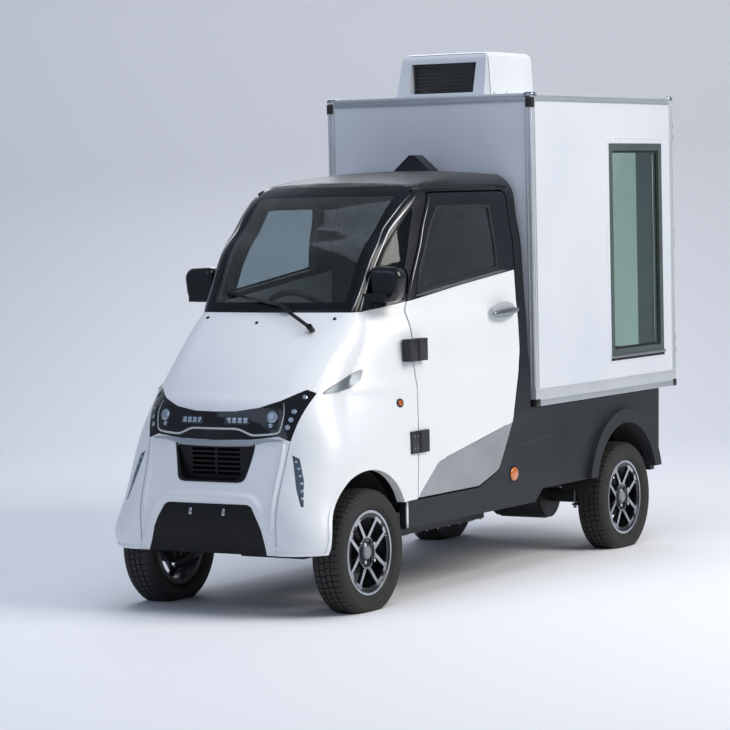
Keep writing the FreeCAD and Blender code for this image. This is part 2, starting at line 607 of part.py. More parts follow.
# Front subframe: strut towers, axle beam, steering rack housing and the bar behind the bumper
kingpin_low = Vector(size.kingpin_low_x, front_axle_y, kingpin_low_z)
kingpin_top = Vector(size.kingpin_top_x, front_axle_y, kingpin_top_z)
kingpin_axis = (kingpin_top - kingpin_low).normalize()
kingpin_turn = Rotation(Vector(0, 0, 1), kingpin_axis)
TOWER_WALL = 14
TOWER_REACH = 70
tower_ys = (f"{FRONT_AXLE} - {TOWER_REACH}", f"{FRONT_AXLE} + {TOWER_REACH}")
tower_plate = block("TowerPlate", (RAIL_OUTER, f"{RAIL_OUTER} + {TOWER_WALL}"), tower_ys,
                    ("@rail_base + 10", f"{KINGPIN_TOP} + 5"))
tower_top = block("TowerTop", (RAIL_OUTER, "@kingpin_top_x + 40"), tower_ys,
                  (f"{KINGPIN_TOP} - 10", f"{KINGPIN_TOP} + 5"))
tower_bore = rod("TowerBore", "@strut_rod_radius + @pin_clearance",
                 ("@kingpin_low_x", FRONT_AXLE, KINGPIN_LOW), "900", kingpin_turn)
left_tower = cut("LeftTower", fuse("LeftTowerBlank", [tower_plate, tower_top]), tower_bore)
front_beam = block("FrontBeam", (f"-{RAIL_OUTER}", RAIL_OUTER),
                   (f"{FRONT_AXLE} - 50", f"{FRONT_AXLE} + @steer_arm + 30"),
                   (f"{RACK} + 23", "@rail_base"))
housing_block = block("RackHousingBlock", ("-160", "160"),
                      (f"{FRONT_AXLE} + @steer_arm - 24", f"{FRONT_AXLE} + @steer_arm + 24"),
                      (f"{RACK} - 23", f"{RACK} + 23"))
housing_bore = rod("RackHousingBore", "@rack_radius + @pin_clearance",
                   ("-170", f"{FRONT_AXLE} + @steer_arm", RACK), "340", ALONG_X)
beam = cut("BeamWithHousing", fuse("BeamBlank", [front_beam, housing_block]), housing_bore)
bumper_bar = block("BumperBar", ("-300", "300"),
                   (f"{NOSE} + @panel_wall + 14", f"{NOSE} + @panel_wall + 60"),
                   ("@rail_base + 10", "@rail_base + 90"))
front_subframe = doc.addObject("Part::Compound", "FrontSubframe")
front_subframe.Links = [left_tower, mirror("RightTower", left_tower), beam, bumper_bar]
keep(front_subframe, "front_subframe")

# Battery pack: one closed block between the rails, under the cab floor
keep(block("BatteryPack", (f"-{RAIL_INNER}", RAIL_INNER), (BATTERY_START, BATTERY_END),
           (f"{RAIL_TOP} - @battery_height", RAIL_TOP)), "battery_pack")

# Lower arms: from the front beam out to the ball joints
EYE_RADIUS = 20
EYE_WALL = 26
arm_inner_z = rack_z + 23
rail_outer_x = size.rail_x + size.rail_width / 2
arm_points = ((rail_outer_x, arm_inner_z + 30), (size.kingpin_low_x - 14, kingpin_low_z + 13),
              (size.kingpin_low_x - 14, kingpin_low_z - 13), (rail_outer_x, arm_inner_z + 2))
arm_face = Part.Face(polygon([Vector(x, front_axle_y - 24, z) for x, z in arm_points]))
arm_shape = arm_face.extrude(Vector(0, 48, 0)).fuse(
    Part.makeCylinder(EYE_RADIUS, EYE_WALL, kingpin_low - kingpin_axis * (EYE_WALL / 2), kingpin_axis))
arm_shape = arm_shape.cut(Part.makeCylinder(size.ball_pin_radius + size.pin_clearance, 80,
                                            kingpin_low - kingpin_axis * 40, kingpin_axis))
keep(feature("LowerArms", both(arm_shape)), "lower_arms")

# Knuckles: strut, hub carrier, brake drum, spindle and steering arm, turning on the kingpin line
SPRING_RADIUS = 40
CARRIER_RADIUS = 38
DRUM_INNER = 24
DRUM_OUTER = 8
SPINDLE_END = 18


def along_kingpin(height):
    """The point of the kingpin line at one height."""
    return kingpin_low + kingpin_axis * ((height - kingpin_low.z) / kingpin_axis.z)


def kingpin_rod(radius, low, high):
    """A round bar on the kingpin line between two heights."""
    start = along_kingpin(low)
    return Part.makeCylinder(radius, (along_kingpin(high) - start).Length, start, kingpin_axis)


wheel_center = Vector(size.front_wheel_x, front_axle_y, size.tyre_radius)
spindle_radius = size.hub_bore - size.spindle_clearance
knuckle_shape = kingpin_rod(size.ball_pin_radius, kingpin_low_z - 12, kingpin_low_z + 40)
tyre_top = 2 * size.tyre_radius
arm_eye = Vector(size.tie_rod_end_x + 22, front_axle_y + size.steer_arm, rack_z)
knuckle_parts = (
    kingpin_rod(size.strut_radius, kingpin_low_z + 30, tyre_top + 28),
    kingpin_rod(SPRING_RADIUS, tyre_top + 22, kingpin_top_z - 22),
    kingpin_rod(size.strut_rod_radius, tyre_top, kingpin_top_z + 18),
    Part.makeCylinder(CARRIER_RADIUS, DRUM_INNER + 2, wheel_center - Vector(2 * DRUM_INNER, 0, 0),
                      Vector(1, 0, 0)),
    Part.makeCylinder(size.brake_radius, DRUM_INNER + DRUM_OUTER, wheel_center - Vector(DRUM_INNER, 0, 0),
                      Vector(1, 0, 0)),
    Part.makeCylinder(spindle_radius, DRUM_INNER + SPINDLE_END, wheel_center - Vector(DRUM_INNER, 0, 0),
                      Vector(1, 0, 0)),
    Part.makeBox(20, size.steer_arm - 14, 20, Vector(arm_eye.x - 8, front_axle_y + 14, rack_z - 10)),
    Part.makeCylinder(14, 24, arm_eye - Vector(0, 0, 12)),
)
for part in knuckle_parts:
    knuckle_shape = knuckle_shape.fuse(part)
knuckle_left = keep(feature("KnuckleLeft", knuckle_shape.removeSplitter()), "knuckle_left")
keep(mirror("KnuckleRight", knuckle_left), "knuckle_right")

# Steering rack with its tie rods, sliding in the housing under the front beam
rack_bar = rod("RackBar", "@rack_radius", (f"-({RAIL_OUTER})", f"{FRONT_AXLE} + @steer_arm", RACK),
               f"2 * {RAIL_OUTER}", ALONG_X)
tie_rods = rod("TieRods", "@tie_rod_radius", ("-@tie_rod_end_x", f"{FRONT_AXLE} + @steer_arm", RACK),
               "2 * @tie_rod_end_x", ALONG_X)
keep(fuse("SteeringRack", [rack_bar, tie_rods]), "steering_rack")

# Rear axle: tube, drive motor, spring seats, drums and spindles
wheel_z = "@tyre_radius"
axle_members = [
    rod("AxleTube", "@axle_radius", (f"-(@rear_wheel_x - {DRUM_INNER})", REAR_AXLE, wheel_z),
        f"2 * (@rear_wheel_x - {DRUM_INNER})", ALONG_X),
    rod("Motor", "@motor_radius", ("-@motor_length / 2", REAR_AXLE, wheel_z), "@motor_length", ALONG_X),
    rod("Spindles", "@hub_bore - @spindle_clearance",
        (f"-(@rear_wheel_x + {SPINDLE_END})", REAR_AXLE, wheel_z),
        f"2 * (@rear_wheel_x + {SPINDLE_END})", ALONG_X),
]
for count, start in enumerate((f"-(@rear_wheel_x + {DRUM_OUTER})", f"@rear_wheel_x - {DRUM_INNER}")):
    axle_members.append(rod(f"Drum{count}", "@brake_radius", (start, REAR_AXLE, wheel_z),
                            f"{DRUM_INNER + DRUM_OUTER}", ALONG_X))
for count, middle in enumerate(("-@spring_x", "@spring_x")):
    axle_members.append(block(f"SpringSeat{count}",
                              (f"{middle} - @spring_width / 2", f"{middle} + @spring_width / 2"),
                              (f"{REAR_AXLE} - 45", f"{REAR_AXLE} + 45"),
                              (wheel_z, f"{wheel_z} + @axle_radius + {SPRING_SEAT}")))
keep(fuse("RearAxle", axle_members), "rear_axle")

# Leaf springs: a stack of leaves bowed from the spring seat up to two eyes
LEAF_STACK = ((1.0, 0, 9), (0.78, -1, 9), (0.5, -2, 9))
seat_z = size.tyre_radius + size.axle_radius + SPRING_SEAT
spring_low_x = size.spring_x - size.spring_width / 2
stack_wall = sum(wall for share, place, wall in LEAF_STACK)
main_low = seat_z + stack_wall - LEAF_STACK[0][2]
eye_height = seat_z + size.spring_rise
bow_radius = (size.spring_reach ** 2 + (eye_height - main_low) ** 2) / (2 * (eye_height - main_low))


def leaf(share, low_z, wall):
    """One leaf, a curved strip about the spring's own centre of bow."""
    center_z = main_low + bow_radius
    inner = center_z - low_z - wall
    outer = center_z - low_z
    half_angle = math.asin(share * size.spring_reach / outer)
    ends = []
    for radius in (outer, inner):
        ends.append([Vector(spring_low_x, rear_axle_y + radius * math.sin(angle),
                            center_z - radius * math.cos(angle)) for angle in (-half_angle, 0, half_angle)])
    low_arc = Part.Arc(*ends[0]).toShape()
    high_arc = Part.Arc(*reversed(ends[1])).toShape()
    wire = Part.Wire([low_arc, Part.makeLine(ends[0][2], ends[1][2]), high_arc,
                      Part.makeLine(ends[1][0], ends[0][0])])
    return Part.Face(wire).extrude(Vector(size.spring_width, 0, 0))


spring_shape = None
for share, place, wall in LEAF_STACK:
    strip = leaf(share, main_low + place * wall, wall)
    spring_shape = strip if spring_shape is None else spring_shape.fuse(strip)
for sign in (-1, 1):
    eye = Vector(spring_low_x, rear_axle_y + sign * size.spring_reach, eye_height)
    spring_shape = spring_shape.fuse(Part.makeCylinder(EYE_RADIUS, size.spring_width, eye, Vector(1, 0, 0)))
    spring_shape = spring_shape.cut(Part.makeCylinder(EYE_PIN + size.pin_clearance, size.spring_width, eye,
                                                      Vector(1, 0, 0)))
keep(feature("LeafSprings", both(spring_shape)), "leaf_springs")

# Cab floor with toe board and wheelhouse steps, standing on the rails
floor_top = "(@floor_height + @floor_wall)"
floor_edge = "(@cladding_face - @panel_wall - 12)"
step_behind = size.front_overhang + arch_radius + 14
FLOOR_FRONT = 520
FIREWALL_TOP = 1100
floor_members = [
    block("FloorPlate", (f"-{floor_edge}", floor_edge),
          (f"{NOSE} + {step_behind}", f"{CAB_BACK} - @panel_wall"), ("@floor_height", floor_top)),
    block("FootWell", ("-(@wheelhouse_inner - 8)", "@wheelhouse_inner - 8"),
          (f"{NOSE} + {FLOOR_FRONT}", f"{NOSE} + {step_behind}"), ("@floor_height", floor_top)),
    block("ToeBoard", ("-(@wheelhouse_inner - 8)", "@wheelhouse_inner - 8"),
          (f"{NOSE} + {FLOOR_FRONT}", f"{NOSE} + {FLOOR_FRONT + 18}"), ("@floor_height", "660")),
    block("Firewall", ("-340", "340"), (f"{NOSE} + {FLOOR_FRONT}", f"{NOSE} + {FLOOR_FRONT + 18}"),
          ("640", f"{FIREWALL_TOP}")),
]
for count, sign in enumerate((-1, 1)):
    edges = [f"{sign} * (@wheelhouse_inner - 26)", f"{sign} * (@wheelhouse_inner - 8)"]
    floor_members.append(block(f"WellSide{count}", edges[::sign],
                               (f"{NOSE} + {FLOOR_FRONT}", f"{NOSE} + {step_behind + 18}"),
                               ("@floor_height", "655")))
    edges = [f"{sign} * (@wheelhouse_inner - 8)", f"{sign} * 470"]
    floor_members.append(block(f"StepRiser{count}", edges[::sign],
                               (f"{NOSE} + {step_behind}", f"{NOSE} + {step_behind + 18}"),
                               ("@floor_height", "655")))
    edges = [f"{sign} * (@wheelhouse_inner - 8)", f"{sign} * 440"]
    floor_members.append(block(f"StepTop{count}", edges[::sign],
                               (f"{NOSE} + {FLOOR_FRONT}", f"{NOSE} + {step_behind + 18}"), ("640", "655")))
keep(fuse("CabFloor", floor_members), "cab_floor")

# Dashboard with the steering column's housing
DASH_HALF_WIDTH = 300
DASH_PROFILE = ((FLOOR_FRONT + 18, 1000), (FLOOR_FRONT + 18, 1060), (588, 1080), (590, 1215), (660, 1228),
                (702, 1190), (702, 1085), (650, 1000))
column_axis = Vector(0, math.cos(math.radians(size.column_angle)), math.sin(math.radians(size.column_angle)))
column_top = Vector(0, nose_y + size.wheel_column_reach, size.wheel_column_height)
COLUMN_RADIUS = 26
SHAFT_RADIUS = 10
dash_shape = side_prism(DASH_PROFILE, -DASH_HALF_WIDTH, DASH_HALF_WIDTH)
column_length = (size.wheel_column_reach - 640) / column_axis.y
dash_shape = dash_shape.fuse(Part.makeCylinder(COLUMN_RADIUS, column_length - 34,
                                               column_top - column_axis * column_length, column_axis))
bracket_behind = (620, 665)
column_z = column_top.z - (size.wheel_column_reach - bracket_behind[1]) * column_axis.z / column_axis.y
dash_shape = dash_shape.fuse(brick((-20, 20), bracket_behind, sorted((1140, column_z))))
dash_shape = dash_shape.cut(Part.makeCylinder(SHAFT_RADIUS + size.pin_clearance, 92,
                                              column_top - column_axis * 120, column_axis))
keep(feature("Dashboard", dash_shape), "dashboard")

# Steering wheel: rim, three spokes, hub and a short shaft in the column
ring = Part.makeTorus(size.steering_wheel_radius, 14, column_top, column_axis)
wheel_shape = ring.fuse(Part.makeCylinder(42, 30, column_top - column_axis * 22, column_axis))
wheel_shape = wheel_shape.fuse(Part.makeCylinder(SHAFT_RADIUS, 96, column_top - column_axis * 112,
                                                 column_axis))
spoke_turn = Rotation(Vector(0, 0, 1), column_axis)
for angle in (0, 90, 180):
    spoke = Part.makeBox(size.steering_wheel_radius, 34, 12, Vector(0, -17, -6))
    spoke.Placement = Placement(column_top, spoke_turn.multiply(Rotation(Vector(0, 0, 1), angle)))
    wheel_shape = wheel_shape.fuse(spoke)
keep(feature("SteeringWheel", wheel_shape), "steering_wheel")

# Driver's seat in the middle of the cab
SEAT_PROFILE = ((1130, 560), (1110, 690), (1150, 742), (1560, 700), (1700, 1230), (1790, 1215),
                (1665, 640), (1600, 560))
seat_pad = side_prism(SEAT_PROFILE, -size.seat_width / 2, size.seat_width / 2)
seat_pad = seat_pad.makeFillet(24, [edge for edge in seat_pad.Edges
                                    if abs(edge.Vertexes[0].X - edge.Vertexes[-1].X) > 1])
seat_base = brick((-180, 180), (1190, 1580), (size.floor_height + size.floor_wall, 560))
head_rest = brick((-125, 125), (1722, 1790), (1215, 1370))
head_rest = head_rest.makeFillet(20, head_rest.Edges)
keep(feature("DriverSeat", seat_pad.fuse(seat_base).fuse(head_rest)), "driver_seat")

# Door mirrors: a rounded shell on a foot, in front of each quarter pane
MIRROR_BEHIND = (668, 752)
MIRROR_OUTLINE = ((400, 1292, 30), (536, 1292, 52), (554, 1440, 46), (400, 1446, 30))
MIRROR_CLEARANCE = 8
mirror_shell = front_prism(MIRROR_OUTLINE, *MIRROR_BEHIND)
mirror_rims = [edge for edge in mirror_shell.Edges if edge.BoundBox.YLength < 1]
mirror_shell = mirror_shell.makeFillet(26, mirror_rims)
mirror_shell = mirror_shell.cut(loft(GREENHOUSE_SECTIONS, -MIRROR_CLEARANCE))
mirror_foot = brick((skin_x(655, 1300) - 10, 500), (636, 678), (1296, 1332))
mirror_foot = mirror_foot.cut(loft(GREENHOUSE_SECTIONS, -size.pin_clearance))
keep(feature("Mirrors", both(mirror_shell.fuse(mirror_foot))), "mirrors")

# Wiper: an arm from its pivot on the cowl, and the blade that it presses on the windscreen
WIPER_PIVOT = (258, 1184)
WIPER_ELBOW = (36, 1290)
WIPER_TIP = (-283, 1343)
WIPER_LIFT = 15


def front_point(x, height, lift):
    """A point in front of the bonnet or windscreen by a lift, at one X and height."""
    solid = cab_solids[1] if height <= size.belt_height else cab_solids[2]
    line = Part.makeLine(Vector(x, nose_y - 50, height), Vector(x, nose_y + 1200, height))
    return Vector(x, solid.common(line).BoundBox.YMin - lift, height)


def bar(start, end, width, height):
    """A slim flat bar between two points."""
    run = end - start
    strip = Part.makeBox(run.Length, width, height, Vector(0, -width / 2, -height / 2))
    strip.Placement = Placement(start, Rotation(Vector(1, 0, 0), run))
    return strip


pivot_foot = front_point(*WIPER_PIVOT, size.pin_clearance)
pivot_top = pivot_foot + Vector(0, -0.8, 0.6) * 24
elbow = front_point(*WIPER_ELBOW, WIPER_LIFT + 6)
wiper_shape = Part.makeCylinder(12, 26, pivot_foot, Vector(0, -0.8, 0.6))
wiper_shape = wiper_shape.fuse(bar(pivot_top, elbow, 14, 8))
blade_points = [front_point(x, height, WIPER_LIFT)
                for x, height in ((105, 1262), WIPER_ELBOW, (-136, 1316), WIPER_TIP)]
for first, second in zip(blade_points, blade_points[1:]):
    wiper_shape = wiper_shape.fuse(bar(first, second, 10, 14))
wiper_shape = wiper_shape.cut(loft(UPPER_SECTIONS, -size.pin_clearance))
wiper_shape = wiper_shape.cut(loft(GREENHOUSE_SECTIONS, -size.pin_clearance))
keep(feature("Wiper", wiper_shape), "wiper")

# Box body: floor, panels, aluminium edge frame and panes
half_box = "(@box_width / 2)"
inner_side = f"({half_box} - @box_wall)"
wall_low = "(@box_base + @box_rail)"
wall_high = f"({BOX_TOP} - @box_edge)"
post_front = f"({BOX_FRONT} + @box_edge)"
post_back = f"({BOX_BACK} - @box_edge)"
panel_face = f"({half_box} - @panel_recess)"
keep(block("BoxFloor", (f"-({half_box} - @box_edge)", f"{half_box} - @box_edge"), (post_front, post_back),
           ("@box_base", "@box_base + 40")), "box_floor")
edge_inner = f"({half_box} - @box_edge)"
frame_members = []
for count, ys in enumerate(((BOX_FRONT, post_front), (post_back, BOX_BACK))):
    frame_members.append(block(f"Post{count}", (edge_inner, half_box), ys, ("@box_base", BOX_TOP)))
    frame_members.append(block(f"HighCross{count}", ("0", half_box), ys, (wall_high, BOX_TOP)))
    frame_members.append(block(f"LowCross{count}", ("0", half_box), ys, ("@box_base", wall_low)))
frame_members.append(block("SideHigh", (edge_inner, half_box), (BOX_FRONT, BOX_BACK), (wall_high, BOX_TOP)))
frame_members.append(block("SideLow", (edge_inner, half_box), (BOX_FRONT, BOX_BACK), ("@box_base", wall_low)))
left_box_frame = fuse("LeftBoxFrame", frame_members)
keep(fuse("BoxFrame", [left_box_frame, mirror("RightBoxFrame", left_box_frame)]), "box_frame")
front_wall = block("BoxFrontWall", (f"-{edge_inner}", edge_inner),
                   (f"{BOX_FRONT} + @panel_recess", f"{BOX_FRONT} + @box_wall"), (wall_low, wall_high))
roof_panel = block("BoxRoof", (f"-{edge_inner}", edge_inner), (post_front, post_back),
                   (f"{BOX_TOP} - @box_wall", f"{BOX_TOP} - @panel_recess"))
window_ys = (f"{BOX_FRONT} + @box_window_front", f"{BOX_BACK} - @box_window_rear")
window_zs = ("@box_base + @box_window_sill", f"{BOX_TOP} - @box_window_head")
side_wall = block("SideWall", (inner_side, panel_face), (post_front, post_back), (wall_low, wall_high))
side_opening = block("SideOpening", ("0", "@box_width"), window_ys, window_zs)
left_wall = cut("LeftWall", side_wall, side_opening)
side_frame = block("SideWindowFrame", (inner_side, f"{half_box} - 1"), window_ys, window_zs)
side_sight = block("SideSight", ("0", "@box_width"),
                   (f"{window_ys[0]} + @window_frame", f"{window_ys[1]} - @window_frame"),
                   (f"{window_zs[0]} + @window_frame", f"{window_zs[1]} - @window_frame"))
left_window_frame = cut("LeftWindowFrame", side_frame, side_sight)
pane_low = f"({half_box} - @box_wall / 2 - @glass_wall / 2)"
left_pane = block("LeftPane", (pane_low, f"{pane_low} + @glass_wall"),
                  (f"{window_ys[0]} + @window_frame", f"{window_ys[1]} - @window_frame"),
                  (f"{window_zs[0]} + @window_frame", f"{window_zs[1]} - @window_frame"))


def pair(name, left, label):
    """A left-hand piece and its mirror image under one label."""
    whole = doc.addObject("Part::Compound", name)
    whole.Links = [left, mirror(name + "Right", left)]
    return keep(whole, label)


box_panels = doc.addObject("Part::Compound", "BoxPanels")
box_panels.Links = [left_wall, mirror("RightWall", left_wall), front_wall, roof_panel]
keep(box_panels, "box_panels")
pair("BoxWindowFrames", left_window_frame, "box_window_frames")
pair("BoxWindows", left_pane, "box_windows")

# Box bearers: the sub-frame that carries the box above the rails
bearer_members = [block("BearerLow", (RAIL_INNER, RAIL_OUTER), (f"{BOX_FRONT} + 20", TAIL),
                        (RAIL_TOP, f"{RAIL_TOP} + 60"))]
# as shares of the way from the box front to the tail
BEARER_POSTS = (0.07, 0.45, 0.8, 0.93)
for count, share in enumerate(BEARER_POSTS):
    start = f"({BOX_FRONT} + {share} * ({TAIL} - {BOX_FRONT}))"
    bearer_members.append(block(f"BearerPost{count}", (RAIL_INNER, RAIL_OUTER),
                                (start, f"{start} + @cross_width"), (RAIL_TOP, "@box_base")))
    bearer_members.append(block(f"BearerCross{count}", ("0", "@cladding_face - @cladding_wall - 6"),
                                (start, f"{start} + @cross_width"), ("@box_base - 50", "@box_base")))
left_bearer = fuse("LeftBearer", bearer_members)
keep(fuse("BoxBearers", [left_bearer, mirror("RightBearer", left_bearer)]), "box_bearers")

# Rear door: one leaf with a window, hinged on the left rear post
leaf_edge = f"({edge_inner} - @rear_door_gap)"
leaf_ys = (f"{BOX_BACK} - @rear_door_wall", BOX_BACK)
leaf_block = block("RearDoorLeaf", (f"-{leaf_edge}", leaf_edge), leaf_ys,
                   (f"{wall_low} + @rear_door_gap", f"{wall_high} - @rear_door_gap"))
rear_window_xs = (f"-({leaf_edge} - @rear_door_stile)", f"{leaf_edge} - @rear_door_stile")
rear_sight = block("RearSight", rear_window_xs, (f"{BOX_BACK} - 100", f"{BOX_BACK} + 100"), window_zs)
HINGE_PIN_RADIUS = 7
rear_hinge_x = f"({edge_inner} + 1)"
rear_hinge_y = f"({BOX_BACK} + @hinge_proud - {HINGE_PIN_RADIUS})"
REAR_HINGES = (0.1, 0.5, 0.9)
door_members = [cut("RearDoorPanel", leaf_block, rear_sight)]
post_members = []
for count, share in enumerate(REAR_HINGES):
    low = f"({wall_low} + {share} * ({wall_high} - {wall_low}) - 45)"
    door_members.append(block(f"HingeStrap{count}", (f"{leaf_edge} - 90", f"{leaf_edge} - 6"),
                              (BOX_BACK, f"{BOX_BACK} + 5"), (low, f"{low} + 90")))
    door_members.append(block(f"HingeNeck{count}", (f"{leaf_edge} - 14", rear_hinge_x),
                              (f"{BOX_BACK} + 3", f"{rear_hinge_y} + 3"), (f"{low} + 32", f"{low} + 58")))
    door_members.append(rod(f"HingeKnuckle{count}", f"{HINGE_PIN_RADIUS}",
                            (rear_hinge_x, rear_hinge_y, f"{low} + 32"), "26"))
    post_members.append(rod(f"HingeBarrelLow{count}", f"{HINGE_PIN_RADIUS}",
                            (rear_hinge_x, rear_hinge_y, low), "31.7"))
    post_members.append(rod(f"HingeBarrelHigh{count}", f"{HINGE_PIN_RADIUS}",
                            (rear_hinge_x, rear_hinge_y, f"{low} + 58.3"), "31.7"))
    post_members.append(block(f"HingeLeafLow{count}", (rear_hinge_x, f"{rear_hinge_x} + 32"),
                              (BOX_BACK, f"{rear_hinge_y} + 2"), (low, f"{low} + 31.7")))
    post_members.append(block(f"HingeLeafHigh{count}", (rear_hinge_x, f"{rear_hinge_x} + 32"),
                              (BOX_BACK, f"{rear_hinge_y} + 2"), (f"{low} + 58.3", f"{low} + 90")))
door_members.append(block("RearHandle", (f"-({leaf_edge} - @rear_door_stile / 2 + 15)",
                                         f"-({leaf_edge} - @rear_door_stile / 2 - 15)"),
                          (BOX_BACK, f"{BOX_BACK} + 12"), ("@box_base + 415", "@box_base + 615")))
keep(fuse("RearDoor", door_members), "rear_door")
keep(fuse("RearHinges", post_members), "rear_hinges")
pane_middle = f"({BOX_BACK} - @rear_door_wall / 2)"
keep(block("RearDoorGlass", rear_window_xs,
           (f"{pane_middle} - @glass_wall / 2", f"{pane_middle} + @glass_wall / 2"), window_zs),
     "rear_door_glass")

# Rear bumper: a dark cross bar between the side panels, with the rear plate's screw holes
bumper_ys = (TAIL, f"{REAR_AXLE} + @rear_overhang")
keep(block("RearBumper", (f"-(@cladding_face - @cladding_wall)", "@cladding_face - @cladding_wall"),
           bumper_ys, ("@rail_base + 30", "560")), "rear_bumper")

# Tail lamps on the rear bumper
tail_left = block("TailLampLeft", ("@cladding_face - 150", "@cladding_face - 44"),
                  (bumper_ys[1], f"{bumper_ys[1]} + 22"), ("440", "540"))
pair("TailLamps", tail_left, "tail_lamps")


# Roof unit: the cooling unit's shell on the box roof, with a recessed grille in its sloped front
# along, up, corner radius
UNIT_PROFILE = ((0, 0, 0), (0, 12, 0), (52, 204, 46), (482, 204, 34), (482, 0, 0))
UNIT_GRILLE = ((-174, 20), (174, 20), (174, 160), (-174, 160))
UNIT_SLOT_PITCH = 17.5
UNIT_SIDE_TAPER = 13
unit_x = size.unit_width / 2
unit_y = box_front_y + size.unit_start
unit_z = size.box_base + size.box_height - size.panel_recess
unit_points = [Vector(-unit_x, unit_y + along * size.unit_length / 482, unit_z + up * size.unit_height / 204)
               for along, up, radius in UNIT_PROFILE]
unit_face = Part.Face(rounded(unit_points, [radius for along, up, radius in UNIT_PROFILE]))
unit_shape = unit_face.extrude(Vector(size.unit_width, 0, 0))
unit_front = [Vector(x, unit_y - 10, unit_z + up) for x, up in (
    (-unit_x, 0), (unit_x, 0), (unit_x - UNIT_SIDE_TAPER, size.unit_height),
    (UNIT_SIDE_TAPER - unit_x, size.unit_height))]
unit_mould = Part.Face(rounded(unit_front, (0, 0, 24, 24))).extrude(Vector(0, 2 * size.unit_length, 0))
unit_shape = unit_shape.common(unit_mould)
grille_face = Part.Face(polygon([Vector(x, unit_y - 20, unit_z + up) for x, up in UNIT_GRILLE]))
unit_shape = unit_shape.cut(grille_face.extrude(Vector(0, 100, 0)))
keep(feature("RoofUnit", unit_shape), "roof_unit")
unit_grille_face = Part.Face(polygon([Vector(x, unit_y + 62, unit_z + up) for x, up in UNIT_GRILLE]))
unit_grille = unit_grille_face.extrude(Vector(0, 18, 0))
slot_up = UNIT_GRILLE[0][1] + 10
while slot_up < UNIT_GRILLE[2][1] - UNIT_SLOT_PITCH:
    slot = Part.makeBox(2 * UNIT_GRILLE[1][0] - 24, 60, 9,
                        Vector(12 - UNIT_GRILLE[1][0], unit_y + 40, unit_z + slot_up))
    unit_grille = unit_grille.cut(slot)
    slot_up += UNIT_SLOT_PITCH
keep(feature("RoofUnitGrille", unit_grille), "roof_unit_grille")


# Wheels: a cast wheel with four pairs of spokes and its tyre, each turned about its own X axis
BEAD = 50
SEAT_RADIUS = "@rim_radius - 12"
BARREL_RADIUS = "@rim_radius - 12 - @rim_wall"
RIM_SECTION = ((40, "0"), (22, "0"), (22, "@hub_bore"), (10, "@hub_bore"), (10, "60"), (28, "66"),
               (34, BARREL_RADIUS), (-57, BARREL_RADIUS), (-57, "@rim_radius"), (-BEAD, "@rim_radius"),
               (-BEAD, SEAT_RADIUS), (BEAD, SEAT_RADIUS), (BEAD, "@rim_radius"), (57, "@rim_radius"),
               (57, "@rim_radius - 11"), (51, "@rim_radius - 17"), (44, "62"), (40, "56"))
# along the axle, share of the tyre's height over the rim
TYRE_WALL = ((61, 0.07), (72.5, 0.43), (71, 0.64), (63, 0.865), (50, 0.966), (30, 1))
# In the face of the wheel: across, outwards, for a rim of 177
WIDE_WINDOW = ((5.7, 66), (61, 134), (33, 144), (0, 148), (-33, 144), (-61, 134), (-5.7, 66))
SLIM_WINDOW = ((27, 62), (37, 139), (20, 145), (0, 147), (-20, 145), (-37, 139), (-27, 62), (0, 64))
SPOKE_PAIRS = 4
RIM_MODEL_RADIUS = 177
RIM_MODEL_HALF_WIDTH = 57
TYRE_MODEL_HALF_WIDTH = 72.5


def origin_item(body, role):
    """One of a body's own origin planes or axes."""
    return next(item for item in body.Origin.OriginFeatures if item.Role == role)


def bound_sketch(body, name, role, corners):
    """A closed sketch of straight edges, each corner a pair of the sheet's expressions."""
    sketch = body.newObject("Sketcher::SketchObject", name)
    sketch.AttachmentSupport = [(origin_item(body, role), "")]
    sketch.MapMode = "FlatFace"
    count = len(corners)
    guess = [Vector(100 * math.cos(2 * math.pi * k / count), 100 * math.sin(2 * math.pi * k / count), 0)
             for k in range(count)]
    for k in range(count):
        sketch.addGeometry(Part.LineSegment(guess[k], guess[(k + 1) % count]), False)
    for k in range(count):
        sketch.addConstraint(Sketcher.Constraint("Coincident", k, 2, (k + 1) % count, 1))
        for kind, text in zip(("DistanceX", "DistanceY"), corners[k]):
            place = sketch.addConstraint(Sketcher.Constraint(kind, -1, 1, k, 1, 10.0))
            bind(sketch, f"Constraints[{place}]", text)
    return sketch


def turned_body(name, corners):
    """A body turned from a section of (along the axle, radius) corners about its own X axis."""
    body = doc.addObject("PartDesign::Body", name)
    sketch = bound_sketch(body, name + "Section", "XY_Plane", corners)
    turn = body.newObject("PartDesign::Revolution", name + "Turn")
    turn.Profile = sketch
    turn.ReferenceAxis = (sketch, ["H_Axis"])
    turn.Angle = 360
    return body


def window_corners(outline, angle):
    """A wheel window's corners as expressions, turned about the hub."""
    cos, sin = math.cos(math.radians(angle)), math.sin(math.radians(angle))
    return [(f"{(across * cos - out * sin) / RIM_MODEL_RADIUS:.5f} * @rim_radius",
             f"{(across * sin + out * cos) / RIM_MODEL_RADIUS:.5f} * @rim_radius") for across, out in outline]


